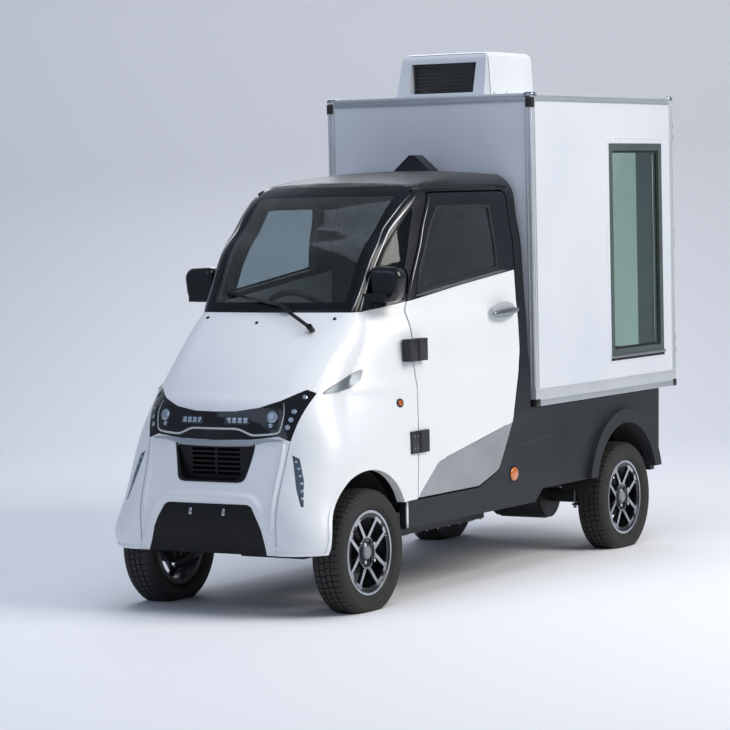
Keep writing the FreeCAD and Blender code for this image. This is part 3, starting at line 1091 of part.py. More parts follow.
WHEELS = (
    ("front_left", "@front_wheel_x", FRONT_AXLE, 0),
    ("front_right", "-@front_wheel_x", FRONT_AXLE, 180),
    ("rear_left", "@rear_wheel_x", REAR_AXLE, 0),
    ("rear_right", "-@rear_wheel_x", REAR_AXLE, 180),
)
bead = f"{BEAD / RIM_MODEL_HALF_WIDTH:.5f} * @rim_width / 2"
tyre_half = [(bead, f"{SEAT_RADIUS} + @pin_clearance"), (bead, "@rim_radius + 0.5")]
tyre_half += [(f"{along / TYRE_MODEL_HALF_WIDTH:.5f} * @tyre_width / 2",
               f"@rim_radius + {share} * (@tyre_radius - @rim_radius)") for along, share in TYRE_WALL]
tyre_other = [("-" + along, out) for along, out in reversed(tyre_half)]
for place, wheel_x, axle_y, turn_angle in WHEELS:
    rim = turned_body("Rim_" + place, [(f"{along / RIM_MODEL_HALF_WIDTH:.5f} * @rim_width / 2", out)
                                       for along, out in RIM_SECTION])
    windows = []
    for kind, outline, angle in (("Wide", WIDE_WINDOW, 0), ("Slim", SLIM_WINDOW, 180 / SPOKE_PAIRS)):
        sketch = bound_sketch(rim, f"Rim_{place}_{kind}Window", "YZ_Plane", window_corners(outline, angle))
        pocket = rim.newObject("PartDesign::Pocket", f"Rim_{place}_{kind}Pocket")
        pocket.Profile = sketch
        pocket.Midplane = True
        bind(pocket, "Length", "2 * @rim_width")
        windows.append(pocket)
    spokes = rim.newObject("PartDesign::PolarPattern", f"Rim_{place}_Spokes")
    spokes.Originals = windows
    spokes.Axis = (windows[0].Profile[0], ["N_Axis"])
    spokes.Angle = 360
    spokes.Occurrences = SPOKE_PAIRS
    rim.Tip = spokes
    tyre = turned_body("Tyre_" + place, tyre_half + tyre_other)
    for body, label in ((rim, "rim_" + place), (tyre, "tyre_" + place)):
        body.Placement = Placement(Vector(), Rotation(Vector(0, 0, 1), turn_angle))
        for axis, text in zip("xyz", (wheel_x, axle_y, "@tyre_radius")):
            bind(body, "Placement.Base." + axis, text)
        keep(body, label)

# Recompute, check every object and write one file for each sub-part
doc.recompute()
for item in doc.Objects:
    if "Invalid" in item.State or "Error" in item.State:
        raise RuntimeError(f"{item.Name} did not build: {item.State}")
os.makedirs("parts", exist_ok=True)
for piece in pieces:
    shape = piece.Shape
    if shape.isNull() or not shape.isValid():
        raise RuntimeError(f"{piece.Label} has no valid shape")
    shape.exportStep(f"parts/{piece.Label}.step")
    low = shape.BoundBox
    print(f"{piece.Label}: {len(shape.Solids)} solid(s), {shape.Volume / 1e6:.3f} litres, "
          f"x {low.XMin:.0f}..{low.XMax:.0f} y {low.YMin:.0f}..{low.YMax:.0f} "
          f"z {low.ZMin:.0f}..{low.ZMax:.0f}")
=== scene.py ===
import json
import math

import bmesh
import bpy
from mathutils import Matrix, Quaternion, Vector
from mathutils.bvhtree import BVHTree

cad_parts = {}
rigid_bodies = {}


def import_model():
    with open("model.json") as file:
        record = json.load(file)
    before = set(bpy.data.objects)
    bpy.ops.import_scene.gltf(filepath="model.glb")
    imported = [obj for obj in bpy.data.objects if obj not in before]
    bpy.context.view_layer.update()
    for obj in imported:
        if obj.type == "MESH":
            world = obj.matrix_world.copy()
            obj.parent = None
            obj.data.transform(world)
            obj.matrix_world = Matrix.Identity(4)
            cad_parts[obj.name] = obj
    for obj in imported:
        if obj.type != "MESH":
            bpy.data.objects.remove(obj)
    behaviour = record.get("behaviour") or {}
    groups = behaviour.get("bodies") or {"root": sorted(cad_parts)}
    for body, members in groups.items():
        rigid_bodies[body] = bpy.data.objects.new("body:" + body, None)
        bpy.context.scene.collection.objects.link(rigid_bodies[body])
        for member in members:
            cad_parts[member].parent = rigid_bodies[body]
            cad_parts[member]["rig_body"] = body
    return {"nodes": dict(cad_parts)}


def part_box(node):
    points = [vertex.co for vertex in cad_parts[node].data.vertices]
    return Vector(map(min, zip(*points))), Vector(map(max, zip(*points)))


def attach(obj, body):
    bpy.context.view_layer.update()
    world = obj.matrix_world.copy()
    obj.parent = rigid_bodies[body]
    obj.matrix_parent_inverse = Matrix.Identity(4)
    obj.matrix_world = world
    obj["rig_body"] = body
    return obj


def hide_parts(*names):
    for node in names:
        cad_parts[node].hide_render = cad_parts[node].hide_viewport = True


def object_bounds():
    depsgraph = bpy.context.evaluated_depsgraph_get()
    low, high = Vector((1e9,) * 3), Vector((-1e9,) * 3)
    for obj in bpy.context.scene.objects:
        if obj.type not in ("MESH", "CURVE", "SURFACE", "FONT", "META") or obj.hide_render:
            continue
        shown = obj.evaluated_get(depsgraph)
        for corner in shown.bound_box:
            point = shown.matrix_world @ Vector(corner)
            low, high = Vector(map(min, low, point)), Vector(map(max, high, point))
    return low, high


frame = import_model()
cad_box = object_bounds()

# Stage: a pale floor that runs up into a backdrop, a large soft key lamp on the vehicle's left, a wide one
# overhead, weaker ones ahead and behind, and a camera far off, where the photograph was taken from.
CAMERA_PLACE = (6.960, -11.820, 1.771)
CAMERA_HEADING = math.radians(31.37)
CAMERA_DIP = math.radians(3.36)
CAMERA_ROLL = math.radians(-1.23)
CAMERA_LENS = 147.7
CAMERA_SENSOR = 36.0
BACKDROP_START = 6.0
BACKDROP_BEND = 3.0
BACKDROP_STEPS = 10
BACKDROP_PANEL = 4.0
BACKDROP_HALF_WIDTH = 14.0
world = bpy.data.worlds.new("studio")
bpy.context.scene.world = world
bpy.context.scene.view_settings.view_transform = "Standard"


def colour(text):
    """Linear colour of an sRGB hex value."""
    parts = [int(text[i:i + 2], 16) / 255 for i in (1, 3, 5)]
    return [p / 12.92 if p <= 0.04045 else ((p + 0.055) / 1.055) ** 2.4 for p in parts] + [1.0]


def add(tree, kind, links=(), **settings):
    """Adds a node with its settings; links pairs each input with a value or with another node's output."""
    node = tree.nodes.new(kind)
    for name, value in settings.items():
        setattr(node, name, value)
    for name, value in links:
        if isinstance(value, bpy.types.NodeSocket):
            tree.links.new(value, node.inputs[name])
        else:
            node.inputs[name].default_value = value
    return node


def show(piece):
    """Puts a new object into the scene."""
    bpy.context.scene.collection.objects.link(piece)
    return piece


def camera_rays(tree, direct, otherwise):
    """One shader for what the camera sees directly or through glass, another for what lights the object."""
    path = add(tree, "ShaderNodeLightPath")
    either = add(tree, "ShaderNodeMath",
                 [(0, path.outputs["Is Camera Ray"]), (1, path.outputs["Is Transmission Ray"])],
                 operation="MAXIMUM")
    return add(tree, "ShaderNodeMixShader", [(0, either.outputs[0]), (1, otherwise), (2, direct)])


world.use_nodes = True
sky = world.node_tree
sky.nodes.clear()
seen_sky = add(sky, "ShaderNodeBackground", [("Color", colour("#F4F6F8")), ("Strength", 1.0)])
lit_sky = add(sky, "ShaderNodeBackground", [("Color", colour("#CBDBF5")), ("Strength", 0.30)])
add(sky, "ShaderNodeOutputWorld",
    [("Surface", camera_rays(sky, seen_sky.outputs[0], lit_sky.outputs[0]).outputs[0])])

floor_finish = bpy.data.materials.new("pale_studio_floor")
floor_finish.use_nodes = True
floor_tree = floor_finish.node_tree
floor_tree.nodes.clear()
floor_grain = add(floor_tree, "ShaderNodeTexNoise", [("Scale", 0.8), ("Detail", 3.0)])
floor_colour = add(floor_tree, "ShaderNodeMix", [(0, floor_grain.outputs["Fac"]), (6, colour("#F0F1F3")),
                                                 (7, colour("#F7F7F8"))], data_type="RGBA")
floor_look = add(floor_tree, "ShaderNodeBsdfPrincipled",
                 [("Base Color", floor_colour.outputs[2]), ("Roughness", 0.8)])
# seen from behind the backdrop is clear, so that it never stands before the object
floor_side = add(floor_tree, "ShaderNodeNewGeometry")
floor_clear = add(floor_tree, "ShaderNodeBsdfTransparent")
floor_both = add(floor_tree, "ShaderNodeMixShader", [(0, floor_side.outputs["Backfacing"]),
                                                     (1, floor_look.outputs[0]), (2, floor_clear.outputs[0])])
add(floor_tree, "ShaderNodeOutputMaterial", [("Surface", floor_both.outputs[0])])
floor_mesh = bpy.data.meshes.new("floor")
floor_shape = bmesh.new()
camera_back = Vector((-math.sin(CAMERA_HEADING), math.cos(CAMERA_HEADING), 0))
camera_right = Vector((math.cos(CAMERA_HEADING), math.sin(CAMERA_HEADING), 0))
rows = []
for step in range(BACKDROP_STEPS + 3):
    bend = math.radians(90 * min(step, BACKDROP_STEPS) / BACKDROP_STEPS)
    away = BACKDROP_START + BACKDROP_BEND * math.sin(bend)
    height = BACKDROP_BEND * (1 - math.cos(bend)) + BACKDROP_PANEL * max(0, step - BACKDROP_STEPS)
    start = away * camera_back + Vector((0, 0, height))
    if step == 0:
        start = -BACKDROP_HALF_WIDTH * camera_back
    ends = [start + side * BACKDROP_HALF_WIDTH * camera_right for side in (-1, 1)]
    rows.append([floor_shape.verts.new(end) for end in ends])
for low, high in zip(rows, rows[1:]):
    floor_shape.faces.new((low[0], low[1], high[1], high[0]))
floor_shape.to_mesh(floor_mesh)
floor_shape.free()
floor_mesh.shade_smooth()
floor = show(bpy.data.objects.new("floor", floor_mesh))
floor_mesh.materials.append(floor_finish)


def soft_lamp(name, place, aim, size, power, tint, mirrored=True):
    """A square area lamp that looks at a point; one that isn't mirrored leaves no patch of light in glass."""
    lamp = bpy.data.lights.new(name, "AREA")
    lamp.size, lamp.energy, lamp.color = size, power, colour(tint)[:3]
    holder = show(bpy.data.objects.new(name, lamp))
    holder.location = place
    holder.visible_glossy = mirrored
    holder.rotation_euler = (Vector(aim) - Vector(place)).to_track_quat("-Z", "Y").to_euler()


soft_lamp("key", (6.5, 0.5, 5.5), (0, 0, 1.0), 4.5, 430, "#FFFAF2")
soft_lamp("front", (-2.0, -8.5, 4.5), (0, 0, 0.9), 5.0, 60, "#CFDFFF")
soft_lamp("top", (0.5, -1.5, 8.5), (0, -0.6, 0), 7.0, 330, "#EEF3FF", mirrored=False)
soft_lamp("rear", (-4.0, 6.0, 5.0), (0, 0, 1.2), 4.0, 120, "#F2F6FF")

ahead = Vector((-math.sin(CAMERA_HEADING) * math.cos(CAMERA_DIP),
                math.cos(CAMERA_HEADING) * math.cos(CAMERA_DIP), -math.sin(CAMERA_DIP)))
above = camera_right.cross(ahead)
level = camera_right * math.cos(CAMERA_ROLL) + above * math.sin(CAMERA_ROLL)
upright = above * math.cos(CAMERA_ROLL) - camera_right * math.sin(CAMERA_ROLL)
lens = bpy.data.cameras.new("photo_view")
lens.lens, lens.sensor_width, lens.clip_end = CAMERA_LENS, CAMERA_SENSOR, 200.0
viewer = show(bpy.data.objects.new("photo_view", lens))
camera_axes = Matrix((level, upright, -ahead)).transposed().to_4x4()
viewer.matrix_world = Matrix.Translation(CAMERA_PLACE) @ camera_axes
bpy.context.scene.camera = viewer

# Chassis: a ladder frame of pressed steel rails and cross members, welded together, dipped in black primer
# and bolted to the towers. The film is even and slightly matt, with a little pale dust in soft patches.
NOSE_Y = cad_box[0][1]
DUSTY = 180
CLOUD_FROM = 0.3
CLOUD_TO = 0.7
SMOOTHEST = 0.02
BROKEN_ANGLE = 38
SHARP_ANGLE = 30


def at(x, behind, height):
    """A place from millimetres left of the middle, behind the nose and above the ground."""
    return Vector((x / 1000, NOSE_Y + behind / 1000, height / 1000))


def finish_of(name, base, tone, roughness, grain=8.0, depth=0.05, swing=0.04, patch=160.0, metallic=0.0,
              **sockets):
    """A material with two close tones in soft patches, a roughness that swings with them and a surface grain.
    Grain, its depth and the patches are in millimetres; other sockets are set as they are named."""
    made = bpy.data.materials.new(name)
    made.use_nodes = True
    made.diffuse_color = colour(base)
    tree = made.node_tree
    tree.nodes.clear()
    place = add(tree, "ShaderNodeTexCoord").outputs["Object"]
    cloud = add(tree, "ShaderNodeTexNoise", [("Vector", place), ("Scale", 1000 / patch), ("Detail", 3.0)])
    spread = add(tree, "ShaderNodeMapRange",
                 [("Value", cloud.outputs["Fac"]), ("From Min", CLOUD_FROM), ("From Max", CLOUD_TO)])
    tint = add(tree, "ShaderNodeMix", [(0, spread.outputs[0]), (6, colour(base)), (7, colour(tone))],
               data_type="RGBA")
    gloss = add(tree, "ShaderNodeMapRange",
                [("Value", spread.outputs[0]), ("To Min", max(roughness - swing, SMOOTHEST)),
                 ("To Max", roughness + swing)])
    grit = add(tree, "ShaderNodeTexNoise", [("Vector", place), ("Scale", 1000 / grain), ("Detail", 2.0)])
    relief = add(tree, "ShaderNodeBump", [("Height", grit.outputs["Fac"]), ("Distance", depth / 1000)])
    shader = add(tree, "ShaderNodeBsdfPrincipled",
                 [("Base Color", tint.outputs[2]), ("Roughness", gloss.outputs[0]), ("Metallic", metallic),
                  ("Normal", relief.outputs[0])])
    for socket, value in sockets.items():
        shader.inputs[socket.replace("_", " ")].default_value = value
    add(tree, "ShaderNodeOutputMaterial", [("Surface", shader.outputs[0])])
    return made


def settled(piece, body, slot, *nodes):
    """Makes a finished piece ride on its body and stand for its CAD nodes, which it hides; the slot is not
    used.
    """
    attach(piece, body)
    if nodes:
        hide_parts(*nodes)
    return piece


def coated(mesh, finishes, smooth):
    """Gives a mesh its finish or finishes, smooth except at edges sharper than an angle in degrees."""
    for finish in finishes if isinstance(finishes, tuple) else (finishes,):
        mesh.materials.append(finish)
    mesh.shade_smooth()
    mesh.set_sharp_from_angle(angle=math.radians(smooth))


def dressed(node, finishes, slot, edge=1.5, zones=(), planes=(), without=None):
    """A smooth copy of a CAD node with its edges broken, standing for that node. Without picks faces to take
    off, planes cut the others, and each zone gives one of the later finishes to the faces its test picks."""
    source = frame["nodes"][node]
    mesh = bpy.data.meshes.new(node + "_skin")
    shape = bmesh.new()
    shape.from_mesh(source.data)
    bmesh.ops.remove_doubles(shape, verts=shape.verts, dist=2e-5)
    bmesh.ops.dissolve_limit(shape, angle_limit=math.radians(0.3), verts=shape.verts, edges=shape.edges)
    if without:
        bmesh.ops.delete(shape, geom=[face for face in shape.faces if without(face)], context="FACES")
        bmesh.ops.holes_fill(shape, edges=[line for line in shape.edges if line.is_boundary])
    for place, normal in planes:
        bmesh.ops.bisect_plane(shape, geom=shape.verts[:] + shape.edges[:] + shape.faces[:], dist=1e-5,
                               plane_co=place, plane_no=normal)
    for index, test in enumerate(zones, start=1):
        for face in shape.faces:
            if test(face):
                face.material_index = index
    shape.to_mesh(mesh)
    shape.free()
    coated(mesh, finishes, SHARP_ANGLE)
    piece = show(bpy.data.objects.new(node + "_skin", mesh))
    if edge:
        bevel = piece.modifiers.new("broken_edges", "BEVEL")
        bevel.width, bevel.segments, bevel.limit_method = edge / 1000, 2, "ANGLE"
        bevel.angle_limit = math.radians(BROKEN_ANGLE)
    return settled(piece, source["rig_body"], slot, node)


def piece_of(name, shape, finishes, smooth=40):
    """An object from a bmesh, its doubles merged and its normals outwards."""
    bmesh.ops.remove_doubles(shape, verts=shape.verts, dist=1e-6)
    bmesh.ops.recalc_face_normals(shape, faces=shape.faces)
    mesh = bpy.data.meshes.new(name)
    shape.to_mesh(mesh)
    shape.free()
    coated(mesh, finishes, smooth)
    return show(bpy.data.objects.new(name, mesh))


def open_tree(name, inputs):
    """A new Geometry Nodes tree with named inputs, and the node that gives them."""
    tree = bpy.data.node_groups.new(name, "GeometryNodeTree")
    for key, kind in inputs:
        tree.interface.new_socket(key, in_out="INPUT", socket_type="NodeSocket" + kind)
    tree.interface.new_socket("Result", in_out="OUTPUT", socket_type="NodeSocketGeometry")
    return tree, add(tree, "NodeGroupInput")


def close_tree(tree, instances, finish):
    """Ends a tree: its instances become real faces in one finish."""
    real = add(tree, "GeometryNodeRealizeInstances", [(0, instances.outputs[0])])
    finished = add(tree, "GeometryNodeSetMaterial", [(0, real.outputs[0]), ("Material", finish)])
    add(tree, "NodeGroupOutput", [(0, finished.outputs[0])])


def grown(name, mesh, tree, values, finish, slot, body):
    """Runs a Geometry Nodes tree on a mesh with its inputs set and keeps the result as a plain mesh."""
    seed = show(bpy.data.objects.new(name + "_seed", mesh))
    modifier = seed.modifiers.new(name, "NODES")
    modifier.node_group = tree
    for socket in tree.interface.items_tree:
        if socket.in_out == "INPUT" and socket.name in values:
            modifier[socket.identifier] = values[socket.name]
    bpy.context.view_layer.update()
    result = bpy.data.meshes.new_from_object(seed.evaluated_get(bpy.context.evaluated_depsgraph_get()))
    bpy.data.objects.remove(seed)
    bpy.data.meshes.remove(mesh)
    result.name = name
    result.materials.clear()
    coated(result, finish, 35)
    return settled(show(bpy.data.objects.new(name, result)), body, slot)


def studs(name, places, radius, height, sides, finish, slot, body, crown=0.72):
    """Screw, bolt, nut or rivet heads set on points, each with the direction that its head faces. Geometry
    Nodes puts one low cone on every point. Sizes are in millimetres."""
    mesh = bpy.data.meshes.new(name + "_points")
    mesh.from_pydata([tuple(place) for place, facing in places], [], [])
    outward = mesh.attributes.new("outward", "FLOAT_VECTOR", "POINT")
    for index, (place, facing) in enumerate(places):
        outward.data[index].vector = facing
    tree, given = open_tree(name + "_heads", (("Points", "Geometry"), ("Head Radius", "Float"),
                                              ("Head Height", "Float"), ("Crown", "Float"), ("Sides", "Int")))
    top = add(tree, "ShaderNodeMath", [(0, given.outputs["Head Radius"]), (1, given.outputs["Crown"])],
              operation="MULTIPLY")
    head = add(tree, "GeometryNodeMeshCone",
               [("Vertices", given.outputs["Sides"]), ("Radius Top", top.outputs[0]),
                ("Radius Bottom", given.outputs["Head Radius"]), ("Depth", given.outputs["Head Height"])])
    facing = add(tree, "GeometryNodeInputNamedAttribute", [("Name", "outward")], data_type="FLOAT_VECTOR")
    turn = add(tree, "FunctionNodeAlignRotationToVector", [("Vector", facing.outputs[0])], axis="Z")
    heads = add(tree, "GeometryNodeInstanceOnPoints",
                [("Points", given.outputs["Points"]), ("Instance", head.outputs[0]),
                 ("Rotation", turn.outputs[0])])
    close_tree(tree, heads, finish)
    return grown(name, mesh, tree, {"Head Radius": radius / 1000, "Head Height": height / 1000,
                                    "Crown": crown, "Sides": sides}, finish, slot, body)


frame_black = finish_of("dipped_steel_primer", "#1B1C1E", "#2B2B2A", 0.5, grain=9, depth=0.1, swing=0.1,
                        patch=DUSTY)
dressed("chassis_frame", frame_black, "frame_black")
# zinc plated flange bolts: a cool grey metal, a little uneven where the plating took the light
zinc = finish_of("zinc_plated_steel", "#A9ADB2", "#8F9498", 0.38, grain=3, depth=0.02, metallic=1.0)
RAIL_FACE = 250
RAIL_BOLTED = (790, 2950)
BOLT_PITCH = 190
BOLT_ROWS = (352, 408)
studs("rail_bolts", [(at(side * RAIL_FACE, behind, height), (side, 0, 0)) for side in (-1, 1)
                     for behind in range(*RAIL_BOLTED, BOLT_PITCH) for height in BOLT_ROWS],
      9, 7, 6, zinc, "steel", "chassis")

# Battery pack: a closed case of folded steel sheet, powder coated black with a fine orange peel, stiffened by
# pressed ribs across its underside and closed by a flange with screws.
case_black = finish_of("powder_coated_case", "#222427", "#2B2D30", 0.46, grain=5, depth=0.12)
dressed("battery_pack", case_black, "frame_black", edge=4)
battery_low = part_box("battery_pack")[0]


def bars(name, start, pitch, count, size, finish, slot, body, edge=1.5):
    """A row of like flat bars: first middle, step from one to the next, how many, and each one's size, in
    metres but for the rounding of their edges in millimetres. Geometry Nodes sets a rounded block on a row of
    points."""
    block = bpy.data.meshes.new(name + "_block")
    shape = bmesh.new()
    bmesh.ops.create_cube(shape, size=1.0, matrix=Matrix.Diagonal((*size, 1.0)))
    bmesh.ops.bevel(shape, geom=shape.edges[:], offset=min(edge / 1000, min(size) * 0.45), segments=2,
                    profile=0.5, affect="EDGES")
    shape.to_mesh(block)
    shape.free()
    pattern = show(bpy.data.objects.new(name + "_block", block))
    tree, given = open_tree(name + "_row", (("Geometry", "Geometry"), ("Count", "Int"), ("First", "Vector"),
                                            ("Pitch", "Vector"), ("Bar", "Object")))
    line = add(tree, "GeometryNodeMeshLine",
               [("Count", given.outputs["Count"]), ("Start Location", given.outputs["First"]),
                ("Offset", given.outputs["Pitch"])])
    bar = add(tree, "GeometryNodeObjectInfo", [("Object", given.outputs["Bar"])])
    row = add(tree, "GeometryNodeInstanceOnPoints",
              [("Points", line.outputs[0]), ("Instance", bar.outputs["Geometry"])])
    close_tree(tree, row, finish)
    made = grown(name, bpy.data.meshes.new(name + "_points"), tree,
                 {"Count": count, "First": tuple(start), "Pitch": tuple(pitch), "Bar": pattern},
                 finish, slot, body)
    bpy.data.objects.remove(pattern)
    return made


bars("battery_ribs", (0, battery_low.y + 0.085, battery_low.z - 0.003), (0, 0.12, 0), 10, (0.34, 0.05, 0.008),
     case_black, "frame_black", "chassis", edge=3)
FLANGE_SCREW = (181, 229)
studs("battery_screws", [(at(side * FLANGE_SCREW[0], behind, FLANGE_SCREW[1]), (0, 0, -1))
                         for side in (-1, 1) for behind in range(790, 2000, 100)],
      6, 5, 6, zinc, "steel", "chassis")

# Front running gear: strut towers, cast lower arms, knuckles that turn on the struts, a coil spring on each
# strut, and the steering rack in its housing. Castings are painted, springs lacquered, rods bright.
FRONT_AXLE = 414
REAR_AXLE = 2764
WHEEL_HEIGHT = 266
KINGPIN_LOW = (425, 185)
KINGPIN_TOP = (345, 650)
SPRING_LOW = 556
SPRING_TOP = 626
COIL_TURNS = 3.5
COIL_STEPS = 20
COIL_RADIUS = 0.033
CUP_LOW = 552
CUP_HIGH = 625
RACK_BEHIND_AXLE = 100
RACK_HEIGHT = 235
TOWER_FACE = 264.5
cast_iron = finish_of("painted_cast_iron", "#232425", "#31302E", 0.56, grain=7, depth=0.4, swing=0.08)
spring_lacquer = finish_of("lacquered_spring_steel", "#17191C", "#24272B", 0.34, grain=5, depth=0.05)
bright_steel = finish_of("ground_steel_rod", "#B9BDC1", "#A2A6AA", 0.26, grain=3, depth=0.01, metallic=1.0)
seal_rubber = finish_of("black_seal_rubber", "#151516", "#222224", 0.62, grain=6, depth=0.1)


def on_kingpin(side, height):
    """The kingpin line's place at one height, on one side of the vehicle."""
    share = (height - KINGPIN_LOW[1]) / (KINGPIN_TOP[1] - KINGPIN_LOW[1])
    return at(side * (KINGPIN_LOW[0] + share * (KINGPIN_TOP[0] - KINGPIN_LOW[0])), FRONT_AXLE, height)


def on_circle(radius, k, steps):
    """The k-th of some points on a circle round the middle."""
    return radius * math.cos(2 * math.pi * k / steps), radius * math.sin(2 * math.pi * k / steps)


def joined(shape, low, high):
    """Faces between two rings of as many points."""
    count = len(low)
    return [shape.faces.new((low[k], low[(k + 1) % count], high[(k + 1) % count], high[k]))
            for k in range(count)]


def turned(shape, profile, place, axis=(1, 0, 0), steps=48):
    """Adds a turned form to a bmesh: (along, radius) pairs in millimetres, from a place along an axis."""
    turn = Vector((0, 0, 1)).rotation_difference(Vector(axis)).to_matrix()
    rings = []
    for along, radius in profile:
        spots = [Vector((*on_circle(radius / 1000, k, steps), along / 1000)) for k in range(steps)]
        rings.append([shape.verts.new(Vector(place) + turn @ spot) for spot in spots])
    for low, high in zip(rings, rings[1:]):
        joined(shape, low, high)
    return shape


def pipe(name, paths, radius, finish, slot, body, order=3, sides=3):
    """Round bars or tubes along smooth lines, one for each list of points; the radius is in millimetres."""
    line = bpy.data.curves.new(name + "_line", "CURVE")
    line.dimensions, line.bevel_depth, line.bevel_resolution = "3D", radius / 1000, sides
    line.use_fill_caps = True
    line.resolution_u = 8
    for points in paths:
        spline = line.splines.new("POLY" if order == 2 else "NURBS")
        spline.points.add(len(points) - 1)
        for target, point in zip(spline.points, points):
            target.co = (*point, 1.0)
        if order > 2:
            spline.order_u = order
            spline.use_endpoint_u = True
    holder = show(bpy.data.objects.new(name + "_line", line))
    bpy.context.view_layer.update()
    mesh = bpy.data.meshes.new_from_object(holder.evaluated_get(bpy.context.evaluated_depsgraph_get()))
    bpy.data.objects.remove(holder)
    shape = bmesh.new()
    shape.from_mesh(mesh)
    bpy.data.meshes.remove(mesh)
    return settled(piece_of(name, shape, finish), body, slot)


dressed("front_subframe", frame_black, "frame_black")
dressed("lower_arms", cast_iron, "frame_black", edge=3)
dressed("steering_rack", bright_steel, "steel")
BELLOWS = ((0, 12.6), (0, 21), (5, 22), (9, 18), (13, 20), (17, 16), (21, 18), (24, 14), (24, 12.6),
           (0, 12.6))
SPRING_CUP = ((0, 39), (3, 40), (5, 38), (5, 14), (0, 13), (0, 39))
BALL_BOOT = ((14, 11), (14, 20), (18, 21), (22, 16), (26, 18), (30, 13), (30, 11), (14, 11))
SPRING_ROOM_FROM = 0.545
STRUT_REACH = 0.030
shape = bmesh.new()
for side in (-1, 1):
    turned(shape, BELLOWS, at(side * 160, FRONT_AXLE + RACK_BEHIND_AXLE, RACK_HEIGHT), (side, 0, 0), 32)
settled(piece_of("rack_seals", shape, seal_rubber), "chassis", "black_plastic")
for side, hand in ((1, "left"), (-1, "right")):
    axis = (on_kingpin(side, SPRING_TOP) - on_kingpin(side, SPRING_LOW)).normalized()

    def around_spring(face):
        """Whether a face belongs to the plain cylinder that holds the spring's room in the solids."""
        foot = on_kingpin(side, SPRING_LOW)
        reach = [vertex.co - foot - axis * (vertex.co - foot).dot(axis) for vertex in face.verts]
        return any(vertex.co.z > SPRING_ROOM_FROM and away.length > STRUT_REACH
                   for vertex, away in zip(face.verts, reach))

    dressed(f"knuckle_{hand}", cast_iron, "frame_black", edge=2, without=around_spring)
    level_out = axis.orthogonal().normalized()
    coil = []
    for step in range(int(COIL_TURNS * COIL_STEPS) + 1):
        turn = Quaternion(axis, 2 * math.pi * step / COIL_STEPS)
        rise = SPRING_LOW + 5 + (SPRING_TOP - SPRING_LOW - 10) * step / (COIL_TURNS * COIL_STEPS)
        coil.append(on_kingpin(side, rise) + turn @ level_out * COIL_RADIUS)
    pipe(f"coil_spring_{hand}", [coil], 5.5, spring_lacquer, "steel", f"knuckle_{hand}", order=2, sides=2)
    shape = turned(bmesh.new(), ((-8, 0), (-8, 12), (82, 12), (82, 0)), on_kingpin(side, CUP_LOW), axis, 24)
    settled(piece_of(f"strut_rod_{hand}", shape, bright_steel), f"knuckle_{hand}", "steel")
    shape = bmesh.new()
    for height in (CUP_LOW, CUP_HIGH):
        turned(shape, SPRING_CUP, on_kingpin(side, height), axis, 32)
    settled(piece_of(f"spring_cups_{hand}", shape, frame_black), f"knuckle_{hand}", "frame_black")
    shape = turned(bmesh.new(), BALL_BOOT, on_kingpin(side, KINGPIN_LOW[1]), axis, 28)
    settled(piece_of(f"ball_boot_{hand}", shape, seal_rubber), f"knuckle_{hand}", "black_plastic")
studs("tower_bolts", [(at(side * TOWER_FACE, FRONT_AXLE + step, height), (side, 0, 0)) for side in (-1, 1)
                      for step in (-54, 54) for height in BOLT_ROWS], 9, 7, 6, zinc, "steel", "chassis")

# Rear axle: a painted tube with the drive motor in its middle, ribbed for cooling, brake drums at its ends,
# and two leaf springs of dark rolled spring steel, held down by U-bolts over their stacks.
dressed("rear_axle", cast_iron, "frame_black", edge=2)
leaf_steel = finish_of("rolled_spring_steel", "#2A2B2D", "#3A3633", 0.48, grain=14, depth=0.15, metallic=0.55)
dressed("leaf_springs", leaf_steel, "steel", edge=1)
MOTOR_RIB_PITCH = 16
MOTOR_HALF = 124
SPRING_MIDDLE = 330
U_BOLT_HALF_WIDTH = 33
U_BOLT_FROM_AXLE = 42
U_BOLT_FOOT = 218
SPRING_EYE = 350
motor_alloy = finish_of("cast_motor_housing", "#55585B", "#66696C", 0.52, grain=5, depth=0.25, metallic=0.7)
profile = [(-MOTOR_HALF, 112)]
for step in range(-7, 8):
    profile += [(step * MOTOR_RIB_PITCH - 2.5, 112.5), (step * MOTOR_RIB_PITCH - 2, 118),
                (step * MOTOR_RIB_PITCH + 2, 118), (step * MOTOR_RIB_PITCH + 2.5, 112.5)]
profile += [(MOTOR_HALF, 112), (MOTOR_HALF, 109), (-MOTOR_HALF, 109), (-MOTOR_HALF, 112)]
shape = turned(bmesh.new(), profile, at(0, REAR_AXLE, WHEEL_HEIGHT), (1, 0, 0), 72)
settled(piece_of("motor_ribs", shape, motor_alloy, smooth=25), "chassis", "steel")
U_BOLT = ((-1, U_BOLT_FOOT), (-1, 300), (-1, 338), (0, 342), (1, 338), (1, 300), (1, U_BOLT_FOOT))
paths = [[at(side * SPRING_MIDDLE + across * U_BOLT_HALF_WIDTH, REAR_AXLE + step, height)
          for across, height in U_BOLT] for side in (-1, 1) for step in (-U_BOLT_FROM_AXLE, U_BOLT_FROM_AXLE)]
pipe("spring_u_bolts", paths, 5, zinc, "steel", "chassis")
shape = bmesh.new()
for side in (-1, 1):
    low = at(side * SPRING_MIDDLE - 44, REAR_AXLE - 56, 222)
    high = at(side * SPRING_MIDDLE + 44, REAR_AXLE + 56, 231)
    bmesh.ops.create_cube(shape, size=1.0, matrix=Matrix.Translation((low + high) / 2)
                          @ Matrix.Diagonal((*(high - low), 1)))
bmesh.ops.bevel(shape, geom=shape.edges[:], offset=0.002, segments=2, profile=0.5, affect="EDGES")
settled(piece_of("spring_plates", shape, frame_black), "chassis", "frame_black")
